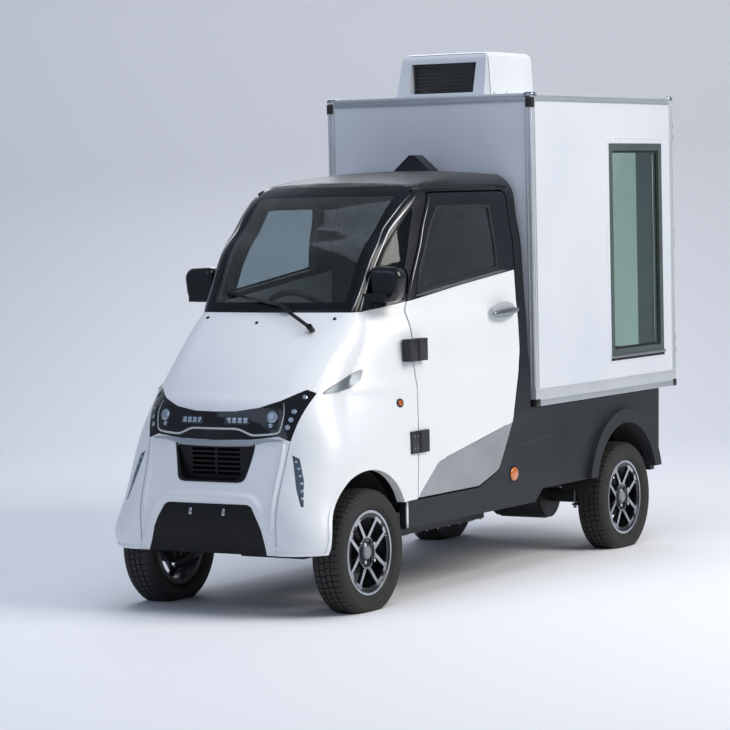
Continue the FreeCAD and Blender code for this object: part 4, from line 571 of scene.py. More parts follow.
studs("u_bolt_nuts", [(at(side * SPRING_MIDDLE + across * U_BOLT_HALF_WIDTH, REAR_AXLE + step, U_BOLT_FOOT),
                       (0, 0, -1)) for side in (-1, 1) for across in (-1, 1)
                      for step in (-U_BOLT_FROM_AXLE, U_BOLT_FROM_AXLE)],
      10, 9, 6, zinc, "steel", "chassis", crown=0.9)
EYE_FACE = 364
EYE_HEIGHT = 358
studs("axle_eye_nuts", [(at(side * EYE_FACE, REAR_AXLE + step, EYE_HEIGHT), (side, 0, 0)) for side in (-1, 1)
                        for step in (-SPRING_EYE, SPRING_EYE)], 11, 8, 6, zinc, "steel", "chassis", crown=0.9)

# Wheels: cast alloy in black lacquer, the spokes' faces and the lip then machined bright on a lathe. Four
# bright nuts and a grey cap. The tyres are radial, with rings on their sidewalls and a blocked tread.
TREAD_PITCHES = 60
TREAD_FLOOR = 258.0
TREAD_TOP = 265.6
NUT_CIRCLE = 50
NUT_SEAT = 46.5
LIP_RADIUS = 0.165
HUB_RADIUS = 0.063
SPOKE_END = 0.146
SPOKE_FACE = 0.036
LATHE_CUT = 0.9
FRONT_WHEEL_X = 476
REAR_WHEEL_X = 486
VALVE_CIRCLE = 154.5
VALVE_TURN = 0.42
machined = finish_of("machined_alloy_face", "#C3C7CB", "#A8ADB2", 0.3, grain=2.5, depth=0.02, metallic=1.0)
wheel_black = finish_of("black_wheel_lacquer", "#141518", "#1F2124", 0.3, grain=6, depth=0.05)
cap_grey = finish_of("grey_wheel_cap", "#7D8288", "#8A8F95", 0.36, grain=5, depth=0.05)
nut_chrome = finish_of("chromed_nut_steel", "#D8DBDE", "#C6CACE", 0.14, grain=4, depth=0.01, metallic=1.0)
tyre_rubber = finish_of("tyre_rubber", "#232322", "#302E2B", 0.74, grain=6, depth=0.35, swing=0.08, patch=90)
valve_rubber = finish_of("valve_rubber", "#161617", "#202022", 0.6, grain=5, depth=0.1)
TYRE_HALF = ((50.2, 166), (50.2, 177), (54, 180.5), (60, 183.5), (63.2, 187), (65.0, 191.5), (66.8, 193),
             (68.0, 193.2), (68.6, 195.2), (67.7, 196.8), (69.4, 203), (70.9, 205), (71.0, 207), (71.3, 213),
             (72.2, 220), (72.1, 228), (71.2, 234.5), (71.8, 236), (71.3, 238), (69.6, 239), (67.3, 246.5),
             (63.0, 252), (58, 256.4), (50, TREAD_FLOOR), (30, TREAD_FLOOR + 0.5), (0, TREAD_FLOOR + 0.6))
# one pitch of the tread: from and to along the axle, and the height at each end
TREAD_BLOCKS = ((3, 24, TREAD_TOP, TREAD_TOP), (30, 52, TREAD_TOP - 0.5, 262.2), (52, 65.5, 262.2, 251.6))
BLOCK_SHARE = 0.84
BLOCK_LEAD = 0.35
BLOCK_ROOT = 6


def tread_pitch():
    """The blocks of one pitch of the tread, with a slot on each side."""
    shape = bmesh.new()
    turn = math.pi * BLOCK_SHARE / TREAD_PITCHES
    for side in (-1, 1):
        for start, end, top_start, top_end in TREAD_BLOCKS:
            lead = BLOCK_LEAD * turn * (start > 0) * side
            corners = []
            for along, top in ((start, top_start), (end, top_end)):
                for angle in (-turn + lead, turn + lead):
                    for radius in (min(TREAD_FLOOR, top) - BLOCK_ROOT, top):
                        corners.append(shape.verts.new((side * along / 1000, math.sin(angle) * radius / 1000,
                                                        math.cos(angle) * radius / 1000)))
            for quad in ((0, 1, 3, 2), (4, 6, 7, 5), (0, 4, 5, 1), (2, 3, 7, 6), (1, 5, 7, 3), (0, 2, 6, 4)):
                shape.faces.new([corners[k] for k in quad])
    bmesh.ops.recalc_face_normals(shape, faces=shape.faces)
    mesh = bpy.data.meshes.new("tread_pitch")
    shape.to_mesh(mesh)
    shape.free()
    return mesh


tread_tree, given = open_tree("tread_ring", (("Pitch Of Blocks", "Geometry"), ("Pitches", "Int")))
hub = add(tread_tree, "GeometryNodeMeshLine", [("Count", given.outputs["Pitches"]), ("Offset", (0, 0, 0))])
one_turn = add(tread_tree, "ShaderNodeMath", [(0, 2 * math.pi), (1, given.outputs["Pitches"])],
               operation="DIVIDE")
number = add(tread_tree, "GeometryNodeInputIndex")
angle = add(tread_tree, "ShaderNodeMath", [(0, number.outputs[0]), (1, one_turn.outputs[0])],
            operation="MULTIPLY")
about = add(tread_tree, "ShaderNodeCombineXYZ", [("X", angle.outputs[0])])
ring = add(tread_tree, "GeometryNodeInstanceOnPoints",
           [("Points", hub.outputs[0]), ("Instance", given.outputs["Pitch Of Blocks"]),
            ("Rotation", about.outputs[0])])
close_tree(tread_tree, ring, tyre_rubber)
CAP = ((39.5, 0), (39.5, 29), (46, 28), (50, 24), (51.5, 17), (52, 0))
VALVE = ((30, 0), (30, 5), (44, 4.4), (46, 5.2), (53, 5.2), (55, 3.6), (55, 0))
for place, side, wheel_x, axle in (("front_left", 1, FRONT_WHEEL_X, FRONT_AXLE),
                                   ("front_right", -1, FRONT_WHEEL_X, FRONT_AXLE),
                                   ("rear_left", 1, REAR_WHEEL_X, REAR_AXLE),
                                   ("rear_right", -1, REAR_WHEEL_X, REAR_AXLE)):
    body = "wheel_" + place
    middle = at(side * wheel_x, axle, WHEEL_HEIGHT)

    def machined_face(face):
        """Whether a face of the rim is on the outer lip or the front of a spoke, where the lathe cut it."""
        reach = [math.hypot(vertex.co.y - middle.y, vertex.co.z - middle.z) for vertex in face.verts]
        along = (face.calc_center_median().x - middle.x) * side
        return (face.normal.x * side > LATHE_CUT and along > SPOKE_FACE
                and (min(reach) > LIP_RADIUS or max(reach) > HUB_RADIUS and min(reach) < SPOKE_END))

    dressed("rim_" + place, (wheel_black, machined), "rim", edge=1.2, zones=(machined_face,))
    wall = [(-along, radius) for along, radius in TYRE_HALF]
    wall += [(along, radius) for along, radius in reversed(TYRE_HALF[:-1])] + [(-50.2, 166)]
    shape = turned(bmesh.new(), wall, middle, (1, 0, 0), 96)
    settled(piece_of("tyre_wall_" + place, shape, tyre_rubber, smooth=50), body, "tyre", "tyre_" + place)
    tread = grown("tyre_tread_" + place, tread_pitch(), tread_tree, {"Pitches": TREAD_PITCHES}, tyre_rubber,
                  "tyre", body)
    tread.data.transform(Matrix.Translation(middle))
    shape = turned(bmesh.new(), CAP, middle, (side, 0, 0), 40)
    settled(piece_of("cap_" + place, shape, cap_grey), body, "rim")
    turns = [math.radians(45 + 90 * k) for k in range(4)]
    studs("nuts_" + place, [(middle + Vector((side * NUT_SEAT, NUT_CIRCLE * math.cos(turn),
                                              NUT_CIRCLE * math.sin(turn))) / 1000, (side, 0, 0))
                            for turn in turns], 9.5, 13, 6, nut_chrome, "rim", body, crown=0.8)
    foot = Vector((0, VALVE_CIRCLE * math.cos(VALVE_TURN), VALVE_CIRCLE * math.sin(VALVE_TURN))) / 1000
    shape = turned(bmesh.new(), VALVE, middle + foot, (side, 0, 0), 20)
    settled(piece_of("valve_" + place, shape, valve_rubber), body, "rim")

# Front mouldings: the white fascia, its black bumper insert and the deep slotted grille are injection moulded
# and clipped to the bar behind. White ones are lacquered like the cab, black ones keep a fine leather grain.
white_lacquer = finish_of("white_lacquered_moulding", "#EDEFF1", "#E6E9EC", 0.36, grain=26, depth=0.03,
                          patch=420, Coat_Weight=0.3, Coat_Roughness=0.18)
# the grain of the real moulding is under 1 mm and is drawn at 5 mm so that it shows at all
grained_black = finish_of("grained_black_moulding", "#0B0C0D", "#121314", 0.5, grain=5, depth=0.25,
                          Specular_IOR_Level=0.3)
# a pale grey used as painted shade: the shadow lines along the fascia's seams and the shade under the lamp
# band
seam_painted_shade = finish_of("painted_shade_at_moulding_joints", "#9FA8B1", "#8E979F", 0.6, grain=6, depth=0.05)
SEAM_EDGE = 2.5
dressed("front_fascia", white_lacquer, "white_plastic", edge=SEAM_EDGE)
dressed("bumper_insert", grained_black, "black_plastic", edge=SEAM_EDGE)
dressed("grille", grained_black, "black_plastic", edge=2)


def skin(*nodes):
    """What a ray can be sent against: the CAD nodes that carry trim."""
    places, faces = [], []
    for node in nodes:
        source = frame["nodes"][node].data
        start = len(places)
        places += [vertex.co.copy() for vertex in source.vertices]
        faces += [[start + index for index in polygon.vertices] for polygon in source.polygons]
    return BVHTree.FromPolygons(places, faces)


def seen(surface, view, point, side=1):
    """Where a point of a view lies on a surface, with the direction that the surface faces there. The front
    view takes (x, height), the side view (behind, height) and the top view (x, behind)."""
    if view == "front":
        start, way = at(point[0], -400, point[1]), Vector((0, 1, 0))
    elif view == "side":
        start, way = at(side * 1200, point[0], point[1]), Vector((-side, 0, 0))
    else:
        start, way = at(point[0], point[1], 3200), Vector((0, 0, -1))
    place, normal, face, distance = surface.ray_cast(start, way)
    if place is None:
        raise RuntimeError(f"nothing carries {point} in the {view} view")
    if normal.dot(way) > 0:
        normal.negate()
    return place, normal


def smooth_line(points, steps=6, closed=False):
    """Points on a smooth curve through the given ones, in any number of dimensions."""
    rows = [Vector(point) for point in points]
    count = len(rows)
    made = []
    for k in range(count if closed else count - 1):
        around = [k + j if not closed else (k + j) % count for j in (-1, 0, 1, 2)]
        before, start, end, after = [rows[min(max(j, 0), count - 1)] for j in around]
        for step in range(steps):
            t = step / steps
            made.append(0.5 * (2 * start + (end - before) * t
                               + (2 * before - 5 * start + 4 * end - after) * t * t
                               + (3 * start - before - 3 * end + after) * t ** 3))
    return made if closed else made + [rows[-1]]


def traced(surface, view, points, side=1):
    """A line of points of a view laid on a surface."""
    return [seen(surface, view, point, side) for point in points]


def mirrored(points, side):
    """Points of the front view, or the same on the other side of the vehicle."""
    return [(side * x, height) for x, height in points]


# sections of strips, across and proud, for a width and a height of one
RIBBON_SECTION = ((-0.5, -0.6), (-0.5, 0.35), (-0.42, 0.8), (-0.25, 1.0), (0.25, 1.0), (0.42, 0.8),
                  (0.5, 0.35), (0.5, -0.6))
SOFT_SECTION = ((-0.5, -0.3), (-0.5, 0.0), (-0.38, 0.12), (-0.22, 0.62), (-0.08, 0.95), (0.08, 0.95),
                (0.22, 0.62), (0.38, 0.12), (0.5, 0.0), (0.5, -0.3))
TAPER_START = 0.15
TAPER_SLOPE = 4


def behind_nose(shape, point):
    """A corner of trim, held back where it would stand ahead of the vehicle's nose."""
    point.y = max(point.y, NOSE_Y)
    return shape.verts.new(point)


def ribbon(shape, spots, width, height, closed=False, section=RIBBON_SECTION, taper=False):
    """Adds a low strip that lies along places on a surface, each with the surface's direction there."""
    rings = []
    count = len(spots)
    for index, (place, normal) in enumerate(spots):
        before = spots[(index - 1) % count if closed else max(index - 1, 0)][0]
        after = spots[(index + 1) % count if closed else min(index + 1, count - 1)][0]
        across = (after - before).cross(normal).normalized()
        share = 1.0
        if taper:
            share = min(1.0, TAPER_START + TAPER_SLOPE * min(index, count - 1 - index) / (count - 1))
        rings.append([behind_nose(shape, place + across * u * width / 1000 * share
                                  + normal * v * height / 1000) for u, v in section])
    for low, high in list(zip(rings, rings[1:])) + ([(rings[-1], rings[0])] if closed else []):
        joined(shape, low, high)
    if not closed:
        shape.faces.new(rings[0])
        shape.faces.new(rings[-1])
    return shape


def plate(shape, spot, outline, proud, sink=2.0, soft=1.2, material=0):
    """Adds a small flat moulding on a surface: its outline in millimetres, right and up, about the spot, and
    how far it stands proud. Its upper edge is drawn in by a soft margin."""
    place, normal = spot
    right = Vector((0, 0, 1)).cross(normal)
    right = right.normalized() if right.length > 0.1 else Vector((1, 0, 0))
    upward = normal.cross(right)
    middle = Vector((sum(u for u, v in outline) / len(outline), sum(v for u, v in outline) / len(outline)))
    rings = []
    for inset, rise in ((0, -sink), (0, proud * 0.4), (soft * 0.35, proud * 0.85), (soft, proud)):
        ring = []
        for u, v in outline:
            reach = Vector((u, v)) - middle
            flat = middle + reach * max(0.0, 1 - inset / max(reach.length, 0.01))
            ring.append(behind_nose(shape, place + (right * flat.x + upward * flat.y + normal * rise) / 1000))
        rings.append(ring)
    made = [face for low, high in zip(rings, rings[1:]) for face in joined(shape, low, high)]
    for face in made + [shape.faces.new(rings[-1]), shape.faces.new(rings[0])]:
        face.material_index = material
    return shape


def oval(half_width, half_height, corner=2.0, steps=24):
    """An outline from an ellipse, corner 2, towards a rounded rectangle, corner above 2."""
    made = []
    for k in range(steps):
        cos, sin = on_circle(1.0, k, steps)
        made.append((half_width * math.copysign(abs(cos) ** (2 / corner), cos),
                     half_height * math.copysign(abs(sin) ** (2 / corner), sin)))
    return made


face_skin = skin("front_fascia", "bumper_insert", "lamp_band", "bonnet", "front_fenders", "corner_lamps")
SURROUND = ((-318, 306), (-296, 380), (-276, 428), (-250, 480), (-208, 514), (-120, 522), (0, 524),
            (120, 522), (208, 514), (250, 480), (276, 428), (296, 380), (318, 306))
SHOULDER = ((327, 740), (325, 690), (321, 600), (318, 500), (315, 420), (313, 390))
SEAM = ((349, 742), (346, 690), (341, 600), (338, 500), (336, 400), (335, 306))
UNDER_BAND_SHADE = ((-322, 752), (-240, 752), (-170, 741), (-80, 738), (0, 737), (80, 738), (170, 741), (240, 752),
        (322, 752))
shape = bmesh.new()
ribbon(shape, traced(face_skin, "front", smooth_line(SURROUND)), 50, 15, section=SOFT_SECTION)
for side in (-1, 1):
    ribbon(shape, traced(face_skin, "front", mirrored(smooth_line(SHOULDER), side)), 30, 10,
           section=SOFT_SECTION, taper=True)
settled(piece_of("fascia_mouldings", shape, white_lacquer, smooth=60), "chassis", "white_plastic")
# painted shade: a thin grey line along each fascia seam, the joint with its shadow line painted in, and a
# soft grey strip under the lamp band for the shade that the band casts on the fascia
shape = bmesh.new()
for side in (-1, 1):
    ribbon(shape, traced(face_skin, "front", mirrored(smooth_line(SEAM), side)), 4, 0.8)
ribbon(shape, traced(face_skin, "front", smooth_line(UNDER_BAND_SHADE)), 26, 7, section=SOFT_SECTION, taper=True)
settled(piece_of("fascia_seams", shape, seam_painted_shade), "chassis", "white_plastic")
# the surround lines the grille opening: each row is the opening's edge, then the surround's outer edge
GRILLE_EDGE = ((0, 586, 0, 579), (60, 586, 70, 579), (112, 586, 134, 579), (136, 591, 155, 584),
               (150, 604, 167, 597), (158, 625, 174, 622), (166, 650, 181, 650), (174, 677, 187, 677),
               (182, 704, 193, 704), (188, 726, 197, 729), (184, 735, 191, 741), (172, 737, 174, 744),
               (90, 737, 90, 744), (0, 737, 0, 744))
GRILLE_LINING = 0.0022
GRILLE_DEPTH = 0.055
shape = bmesh.new()
rings = [[], [], [], []]
for inner_x, inner_height, outer_x, outer_height in GRILLE_EDGE + tuple(
        (-row[0], row[1], -row[2], row[3]) for row in reversed(GRILLE_EDGE[1:-1])):
    place, facing = seen(face_skin, "front", (outer_x, outer_height))
    mouth = Vector((inner_x / 1000, place.y, inner_height / 1000))
    for ring, spot in zip(rings, (place - facing * 0.001, place + facing * GRILLE_LINING,
                                  mouth + facing * GRILLE_LINING, mouth + Vector((0, GRILLE_DEPTH, 0)))):
        ring.append(shape.verts.new(spot))
for low, high in zip(rings, rings[1:]):
    joined(shape, low, high)
settled(piece_of("grille_surround", shape, grained_black, smooth=60), "chassis", "black_plastic")
bars("grille_fins", at(-132, 106, 661), (0.011, 0, 0), 25, (0.0016, 0.014, 0.128), grained_black,
     "black_plastic", "chassis", edge=0.4)
# two bright spring clips, each with a screw, over the place left bare
CLIPS = ((-82, 460), (82, 460))
shape = bmesh.new()
for spot in traced(face_skin, "front", CLIPS):
    plate(shape, spot, oval(8, 15, 4), 3)
settled(piece_of("plate_clips", shape, bright_steel), "chassis", "bright_trim")
studs("plate_screws", [(place + Vector((0, -0.0042, 0)), (0, -1, 0))
                       for place, facing in traced(face_skin, "front", CLIPS)],
      5, 3, 12, zinc, "bright_trim", "chassis")

# Lamp band: one smoked polycarbonate lens over a black housing from headlamp to headlamp. It covers a frosted
# light guide, two lamp blocks by the middle, a projector on each side and a column of small lamps outside.
smoked_lens = finish_of("smoked_polycarbonate", "#07090B", "#0C0F12", 0.1, grain=30, depth=0.01, swing=0.02,
                        Coat_Weight=0.5, Coat_Roughness=0.05)
frosted_guide = finish_of("frosted_light_guide", "#C9CDCC", "#B7BCBC", 0.3, grain=6, depth=0.03,
                          Coat_Weight=0.5)
lamp_housing = finish_of("metallised_lamp_housing", "#4D5259", "#3A3F46", 0.24, grain=12, depth=0.05,
                         metallic=0.8)
lamp_glass = finish_of("clear_lamp_optic", "#B9C4CF", "#93A1AF", 0.06, grain=20, depth=0.02, metallic=0.5,
                       Coat_Weight=1.0)
dressed("lamp_band", smoked_lens, "lens_black", edge=SEAM_EDGE)
LIGHT_GUIDE = ((300, 903), (309, 875), (312, 846), (305, 800), (296, 784), (270, 778), (225, 774), (184, 773),
               (160, 780), (125, 794), (96, 798), (40, 798), (0, 798))
PROJECTOR = ((-27, -42), (22, -44), (28, -30), (30, 20), (24, 44), (-8, 36), (-30, 24))
LAMP_COLUMN = ((347, 868), (342, 836), (334, 806), (366, 924))
LAMP_BLOCK_HEIGHT = 833
LAMP_RING = ((-3, 13.5), (0.8, 14.5), (2.2, 14), (2.2, 11.0), (-3, 10.5))
LAMP_LENS = ((-2, 10.5), (1.8, 10.3), (3.8, 6), (4.4, 0))
MAIN_OPTIC = ((-2, 24), (2.4, 24), (5.0, 19), (6.8, 10), (7.2, 0))
SIDE_OPTIC = ((-2, 10), (2.2, 10), (3.6, 7), (4.2, 0))
line = LIGHT_GUIDE + tuple(mirrored(reversed(LIGHT_GUIDE[:-1]), -1))
shape = ribbon(bmesh.new(), traced(face_skin, "front", smooth_line(line, 4)), 8.5, 2.2, taper=True)
settled(piece_of("light_guide", shape, frosted_guide), "chassis", "lens_clear")
shape = bmesh.new()
for side in (-1, 1):
    plate(shape, seen(face_skin, "front", (side * 111, LAMP_BLOCK_HEIGHT)), oval(61, 17, 6, 32), 1.6)
    plate(shape, seen(face_skin, "front", (side * 264, 838)), mirrored(PROJECTOR, side), 1.6)
    for spot in traced(face_skin, "front", mirrored(LAMP_COLUMN, side)):
        turned(shape, LAMP_RING, *spot, 24)
settled(piece_of("lamp_housings", shape, lamp_housing), "chassis", "lens_black")
shape = bmesh.new()
for side in (-1, 1):
    for x in (72, 98, 124, 150):
        plate(shape, seen(face_skin, "front", (side * x, LAMP_BLOCK_HEIGHT)), oval(10, 11, 5), 3)
    turned(shape, MAIN_OPTIC, *seen(face_skin, "front", (side * 266, 848)), 32)
    turned(shape, SIDE_OPTIC, *seen(face_skin, "front", (side * 262, 812)), 24)
    for spot in traced(face_skin, "front", mirrored(LAMP_COLUMN, side)):
        turned(shape, LAMP_LENS, *spot, 20)
settled(piece_of("lamp_optics", shape, lamp_glass, smooth=50), "chassis", "lens_clear")

# Corner lamps: slim upright lamps let into the front corners, a clear ribbed lens over a bright reflector
# with a column of small diodes.
clear_lens = finish_of("ribbed_clear_lens", "#5F6E7C", "#3E4B58", 0.14, grain=10, depth=0.3, metallic=0.4,
                       Coat_Weight=1.0)
dressed("corner_lamps", clear_lens, "lens_clear", edge=SEAM_EDGE)
DIODES = ((385, 668), (399, 640), (409, 611), (418, 581), (425, 551), (431, 521))
shape = bmesh.new()
for side in (-1, 1):
    for spot in traced(face_skin, "front", mirrored(DIODES, side)):
        turned(shape, ((-1, 6.5), (1.2, 6.3), (2.6, 3.5), (3, 0)), *spot, 16)
settled(piece_of("corner_diodes", shape, lamp_glass), "chassis", "lens_clear")

# Front fenders and bonnet: pressed sheet, primed and sprayed in white enamel under a clear coat. The fenders
# wrap round to the doors, over liners of pressed fibre; the bonnet is a fixed panel with capped screws.
white_enamel = finish_of("white_enamel_clearcoat", "#EFF1F2", "#E9ECEE", 0.36, grain=34, depth=0.03,
                         patch=500, swing=0.03, Coat_Weight=0.3, Coat_Roughness=0.18)
arch_liner = finish_of("pressed_fibre_liner", "#141414", "#1E1D1C", 0.85, grain=7, depth=0.5, swing=0.05)
amber_lens = finish_of("amber_marker_lens", "#C96A12", "#A8500C", 0.14, grain=9, depth=0.1, Coat_Weight=1.0)
dressed("front_fenders", white_enamel, "white_paint", edge=SEAM_EDGE)
dressed("bonnet", white_enamel, "white_paint", edge=SEAM_EDGE)
studs("bonnet_caps", [seen(face_skin, "front", point) for point in ((-324, 1232), (-34, 1214), (321, 1230))],
      8, 5, 16, grained_black, "black_plastic", "chassis")
LINER_MIDDLE = 305


def liner(shape, side, inner, outer, axle, radius, start, end, wall=2.5, steps=40):
    """Adds the curved shell over a wheel, from one angle above level to another, one wall thick."""
    rings = []
    corners = ((outer, radius), (inner, radius), (inner, radius + wall), (outer, radius + wall))
    for k in range(steps + 1):
        angle = math.radians(start + (end - start) * k / steps)
        rings.append([shape.verts.new(at(side * x, axle - reach * math.cos(angle),
                                         LINER_MIDDLE + reach * math.sin(angle))) for x, reach in corners])
    for low, high in zip(rings, rings[1:]):
        joined(shape, low, high)
    shape.faces.new(rings[0])
    shape.faces.new(rings[-1])


shape = bmesh.new()
for side in (-1, 1):
    liner(shape, side, 264, 468, FRONT_AXLE, 306.5, 2, 176)
settled(piece_of("front_wheel_liners", shape, arch_liner), "chassis", "black_plastic")
flank = skin("front_fenders", "door_left", "door_right", "lower_side_panels")
MARKER = (693, 868)
shape = bmesh.new()
for side in (-1, 1):
    plate(shape, seen(flank, "side", MARKER, side), oval(23, 19), 3, soft=2, material=1)
    plate(shape, seen(flank, "side", MARKER, side), oval(15, 13), 6, soft=4)
settled(piece_of("marker_lamps", shape, (amber_lens, grained_black)), "chassis", "lens_red")
# side garnishes: a pointed trim piece behind each headlamp, plastic with a satin metal film
satin_film = finish_of("satin_metal_film", "#8F969D", "#6F777E", 0.36, grain=12, depth=0.04, metallic=0.55)
dressed("side_garnishes", satin_film, "bright_trim", edge=1)

# Cab frame and roof: welded steel pillars, door surrounds and rear wall in black enamel under a clear coat.
# The roof panel is crowned and rougher; its upper side is a lighter grey beige, a painted sheen of the sky.
# Trim lines are anodised silver.
black_enamel = finish_of("black_enamel_clearcoat", "#0D0F13", "#14171C", 0.3, grain=30, depth=0.03, patch=400,
                         Specular_IOR_Level=0.35, Coat_Weight=0.25, Coat_Roughness=0.1)
# the roof's crowned top takes lighter grey beige patches: a painted sheen of the sky
roof_black_painted_sheen = finish_of("black_roof_enamel_painted_sky_sheen", "#2A2A29", "#474440", 0.42, grain=12, depth=0.05, patch=240,
                       swing=0.06)
silver_line = finish_of("anodised_silver_trim", "#B4B8BC", "#9A9FA4", 0.34, grain=14, depth=0.02,
                        metallic=0.9)
dressed("cab_frame", black_enamel, "black_paint")
SHEEN_SLOPE = 0.8


def lower_roof(face):
    """Whether a face of the roof node lies under its crowned top, where no sheen is painted."""
    return face.normal.z < SHEEN_SLOPE


dressed("cab_roof", (roof_black_painted_sheen, black_enamel), "black_paint", zones=(lower_roof,))
house = skin("cab_frame", "cab_roof", "cab_glass", "door_frame_left", "door_frame_right", "door_left",
             "door_right", "front_fenders", "door_glass_left", "door_glass_right")
PILLAR_OUTER = ((574, 1256), (583, 1272), (645, 1360), (730, 1492), (854, 1612), (962, 1700), (1040, 1745))
PILLAR_INNER = ((604, 1258), (617, 1276), (682, 1388), (771, 1512), (874, 1611), (998, 1700), (1048, 1735))
DRIP_LINE = ((1052, 1752), (1100, 1768), (1400, 1777), (1640, 1779), (1760, 1776), (1800, 1764))
shape = bmesh.new()
for side in (-1, 1):
    for points, width in ((PILLAR_OUTER, 6), (PILLAR_INNER, 8)):
        ribbon(shape, traced(house, "side", smooth_line(points), side), width, 4, taper=True)
settled(piece_of("pillar_trim", shape, silver_line), "chassis", "bright_trim")
shape = bmesh.new()
for side in (-1, 1):
    ribbon(shape, traced(house, "side", smooth_line(DRIP_LINE), side), 15, 8, taper=True)
settled(piece_of("drip_rails", shape, black_enamel), "chassis", "black_paint")

# Cab glass: laminated windscreen and toughened quarter panes, tinted grey green, with a printed black border
# that hides the bead of adhesive.
tinted_glass = finish_of("tinted_laminated_glass", "#BBC6CB", "#B4C0C6", 0.02, grain=300, depth=0.01,
                         patch=600, swing=0.0, Transmission_Weight=1.0, IOR=1.4, Specular_IOR_Level=0.3)
quarter_glass = finish_of("smoked_quarter_glass", "#56626A", "#4F5B63", 0.03, grain=300, depth=0.01,
                          patch=600, swing=0.0, Transmission_Weight=1.0, IOR=1.4, Specular_IOR_Level=0.3)
black_border = finish_of("printed_black_glass_border", "#08090B", "#0D0F12", 0.16, grain=30, depth=0.01)
glass_rubber = finish_of("extruded_glazing_rubber", "#161617", "#1F1F20", 0.58, grain=8, depth=0.1)
SCREEN_LOW = 1296
SCREEN_HIGH = 1742
SCREEN_SIDE = 338
SCREEN_LEAN = 0.02
SCREEN_LEVEL = 1500
QUARTER_FROM = 400


def screen_border(face):
    """Whether a face of the glass is in the printed border at the windscreen's edges."""
    middle = face.calc_center_median() * 1000
    edge = SCREEN_SIDE + SCREEN_LEAN * (middle.z - SCREEN_LEVEL)
    return (abs(middle.x) < QUARTER_FROM
            and (abs(middle.x) > edge or not SCREEN_LOW <= middle.z <= SCREEN_HIGH))


def quarter_pane(face):
    """Whether a face of the glass is on one of the fixed panes behind the windscreen."""
    return all(abs(vertex.co.x) > QUARTER_FROM / 1000 for vertex in face.verts)


SCREEN_CUTS = [(at(0, 0, height), (0, 0, 1)) for height in (SCREEN_LOW, SCREEN_HIGH)]
SCREEN_CUTS += [(at(side * SCREEN_SIDE, 0, SCREEN_LEVEL), (side, 0, -SCREEN_LEAN)) for side in (1, -1)]
dressed("cab_glass", (tinted_glass, black_border, quarter_glass), "glass", edge=0,
        zones=(screen_border, quarter_pane), planes=SCREEN_CUTS)

# Doors: a pressed steel skin, white up to the belt and black above it, with a grey film on the wedge along
# the sill. Each hangs on two covered hinges and has a satin silver pull handle over a shallow recess, whose
# darker grey is painted shade.
grey_film = finish_of("silver_grey_sill_film", "#A3A7AA", "#979B9F", 0.4, grain=6, depth=0.08, metallic=0.3)
hinge_cover = finish_of("black_hinge_cover", "#1B1C1F", "#232528", 0.42, grain=6, depth=0.1)
belt_rubber = finish_of("grey_belt_weatherstrip", "#5A6067", "#4E545B", 0.5, grain=7, depth=0.08)
handle_silver = finish_of("satin_silver_handle", "#A6ABB0", "#8D9398", 0.26, grain=10, depth=0.02,
                          metallic=0.9)
# the handle's recess is the white enamel painted darker: painted shade in the scoop
recess_shade = finish_of("white_enamel_painted_recess_shade", "#B9BEC2", "#A9AFB4", 0.3, grain=20, depth=0.03)
WEDGE = ((1003, 596), (1672, 712))
WEDGE_FRONT = ((823, 454), (1003, 596))
WEDGE_STEPS = 12
HANDLE_BEHIND = (1490, 1742)
HANDLE_HEIGHT = 1211
HANDLE_RISE = 12
HANDLE_STEPS = 24
GRIP_SIDES = 16
GRIP_HALF = (0.0150, 0.0072)
GRIP_HEIGHTS = (1194, 1230)
GRIP_ROOT = 0.497
GRIP_FACE = 0.534
LEAF_BEHIND = (828, 894)
LEAF_HEIGHTS = (695, 1086)
LEAF_HALF_HEIGHT = 48
LEAF_FROM = 0.514
DOOR_SKIN_FROM = 0.50
GLASS_EDGE = ((940, 1331), (960, 1400), (995, 1462), (1080, 1582), (1160, 1672), (1180, 1684), (1400, 1686),
              (1600, 1684), (1611, 1676), (1614, 1540), (1615, 1414), (1604, 1406), (1300, 1370),
              (1000, 1334), (946, 1329))
BELT_STRIP = ((908, 1311), (1032, 1324), (1289, 1353), (1598, 1386), (1700, 1395))
FRAME_EDGE = ((885, 1333), (956, 1455), (1045, 1592), (1133, 1728))


def under_line(point, line):
    """Whether a place is under a line of the side view given by two points."""
    (start, low), (end, high) = line
    behind = (point.y - NOSE_Y) * 1000
    return point.z * 1000 < low + (behind - start) / (end - start) * (high - low)


def line_plane(line):
    """The plane through a line of the side view, square to that view."""
    (start, low), (end, high) = line
    return at(0, start, low), (0, -(high - low), end - start)


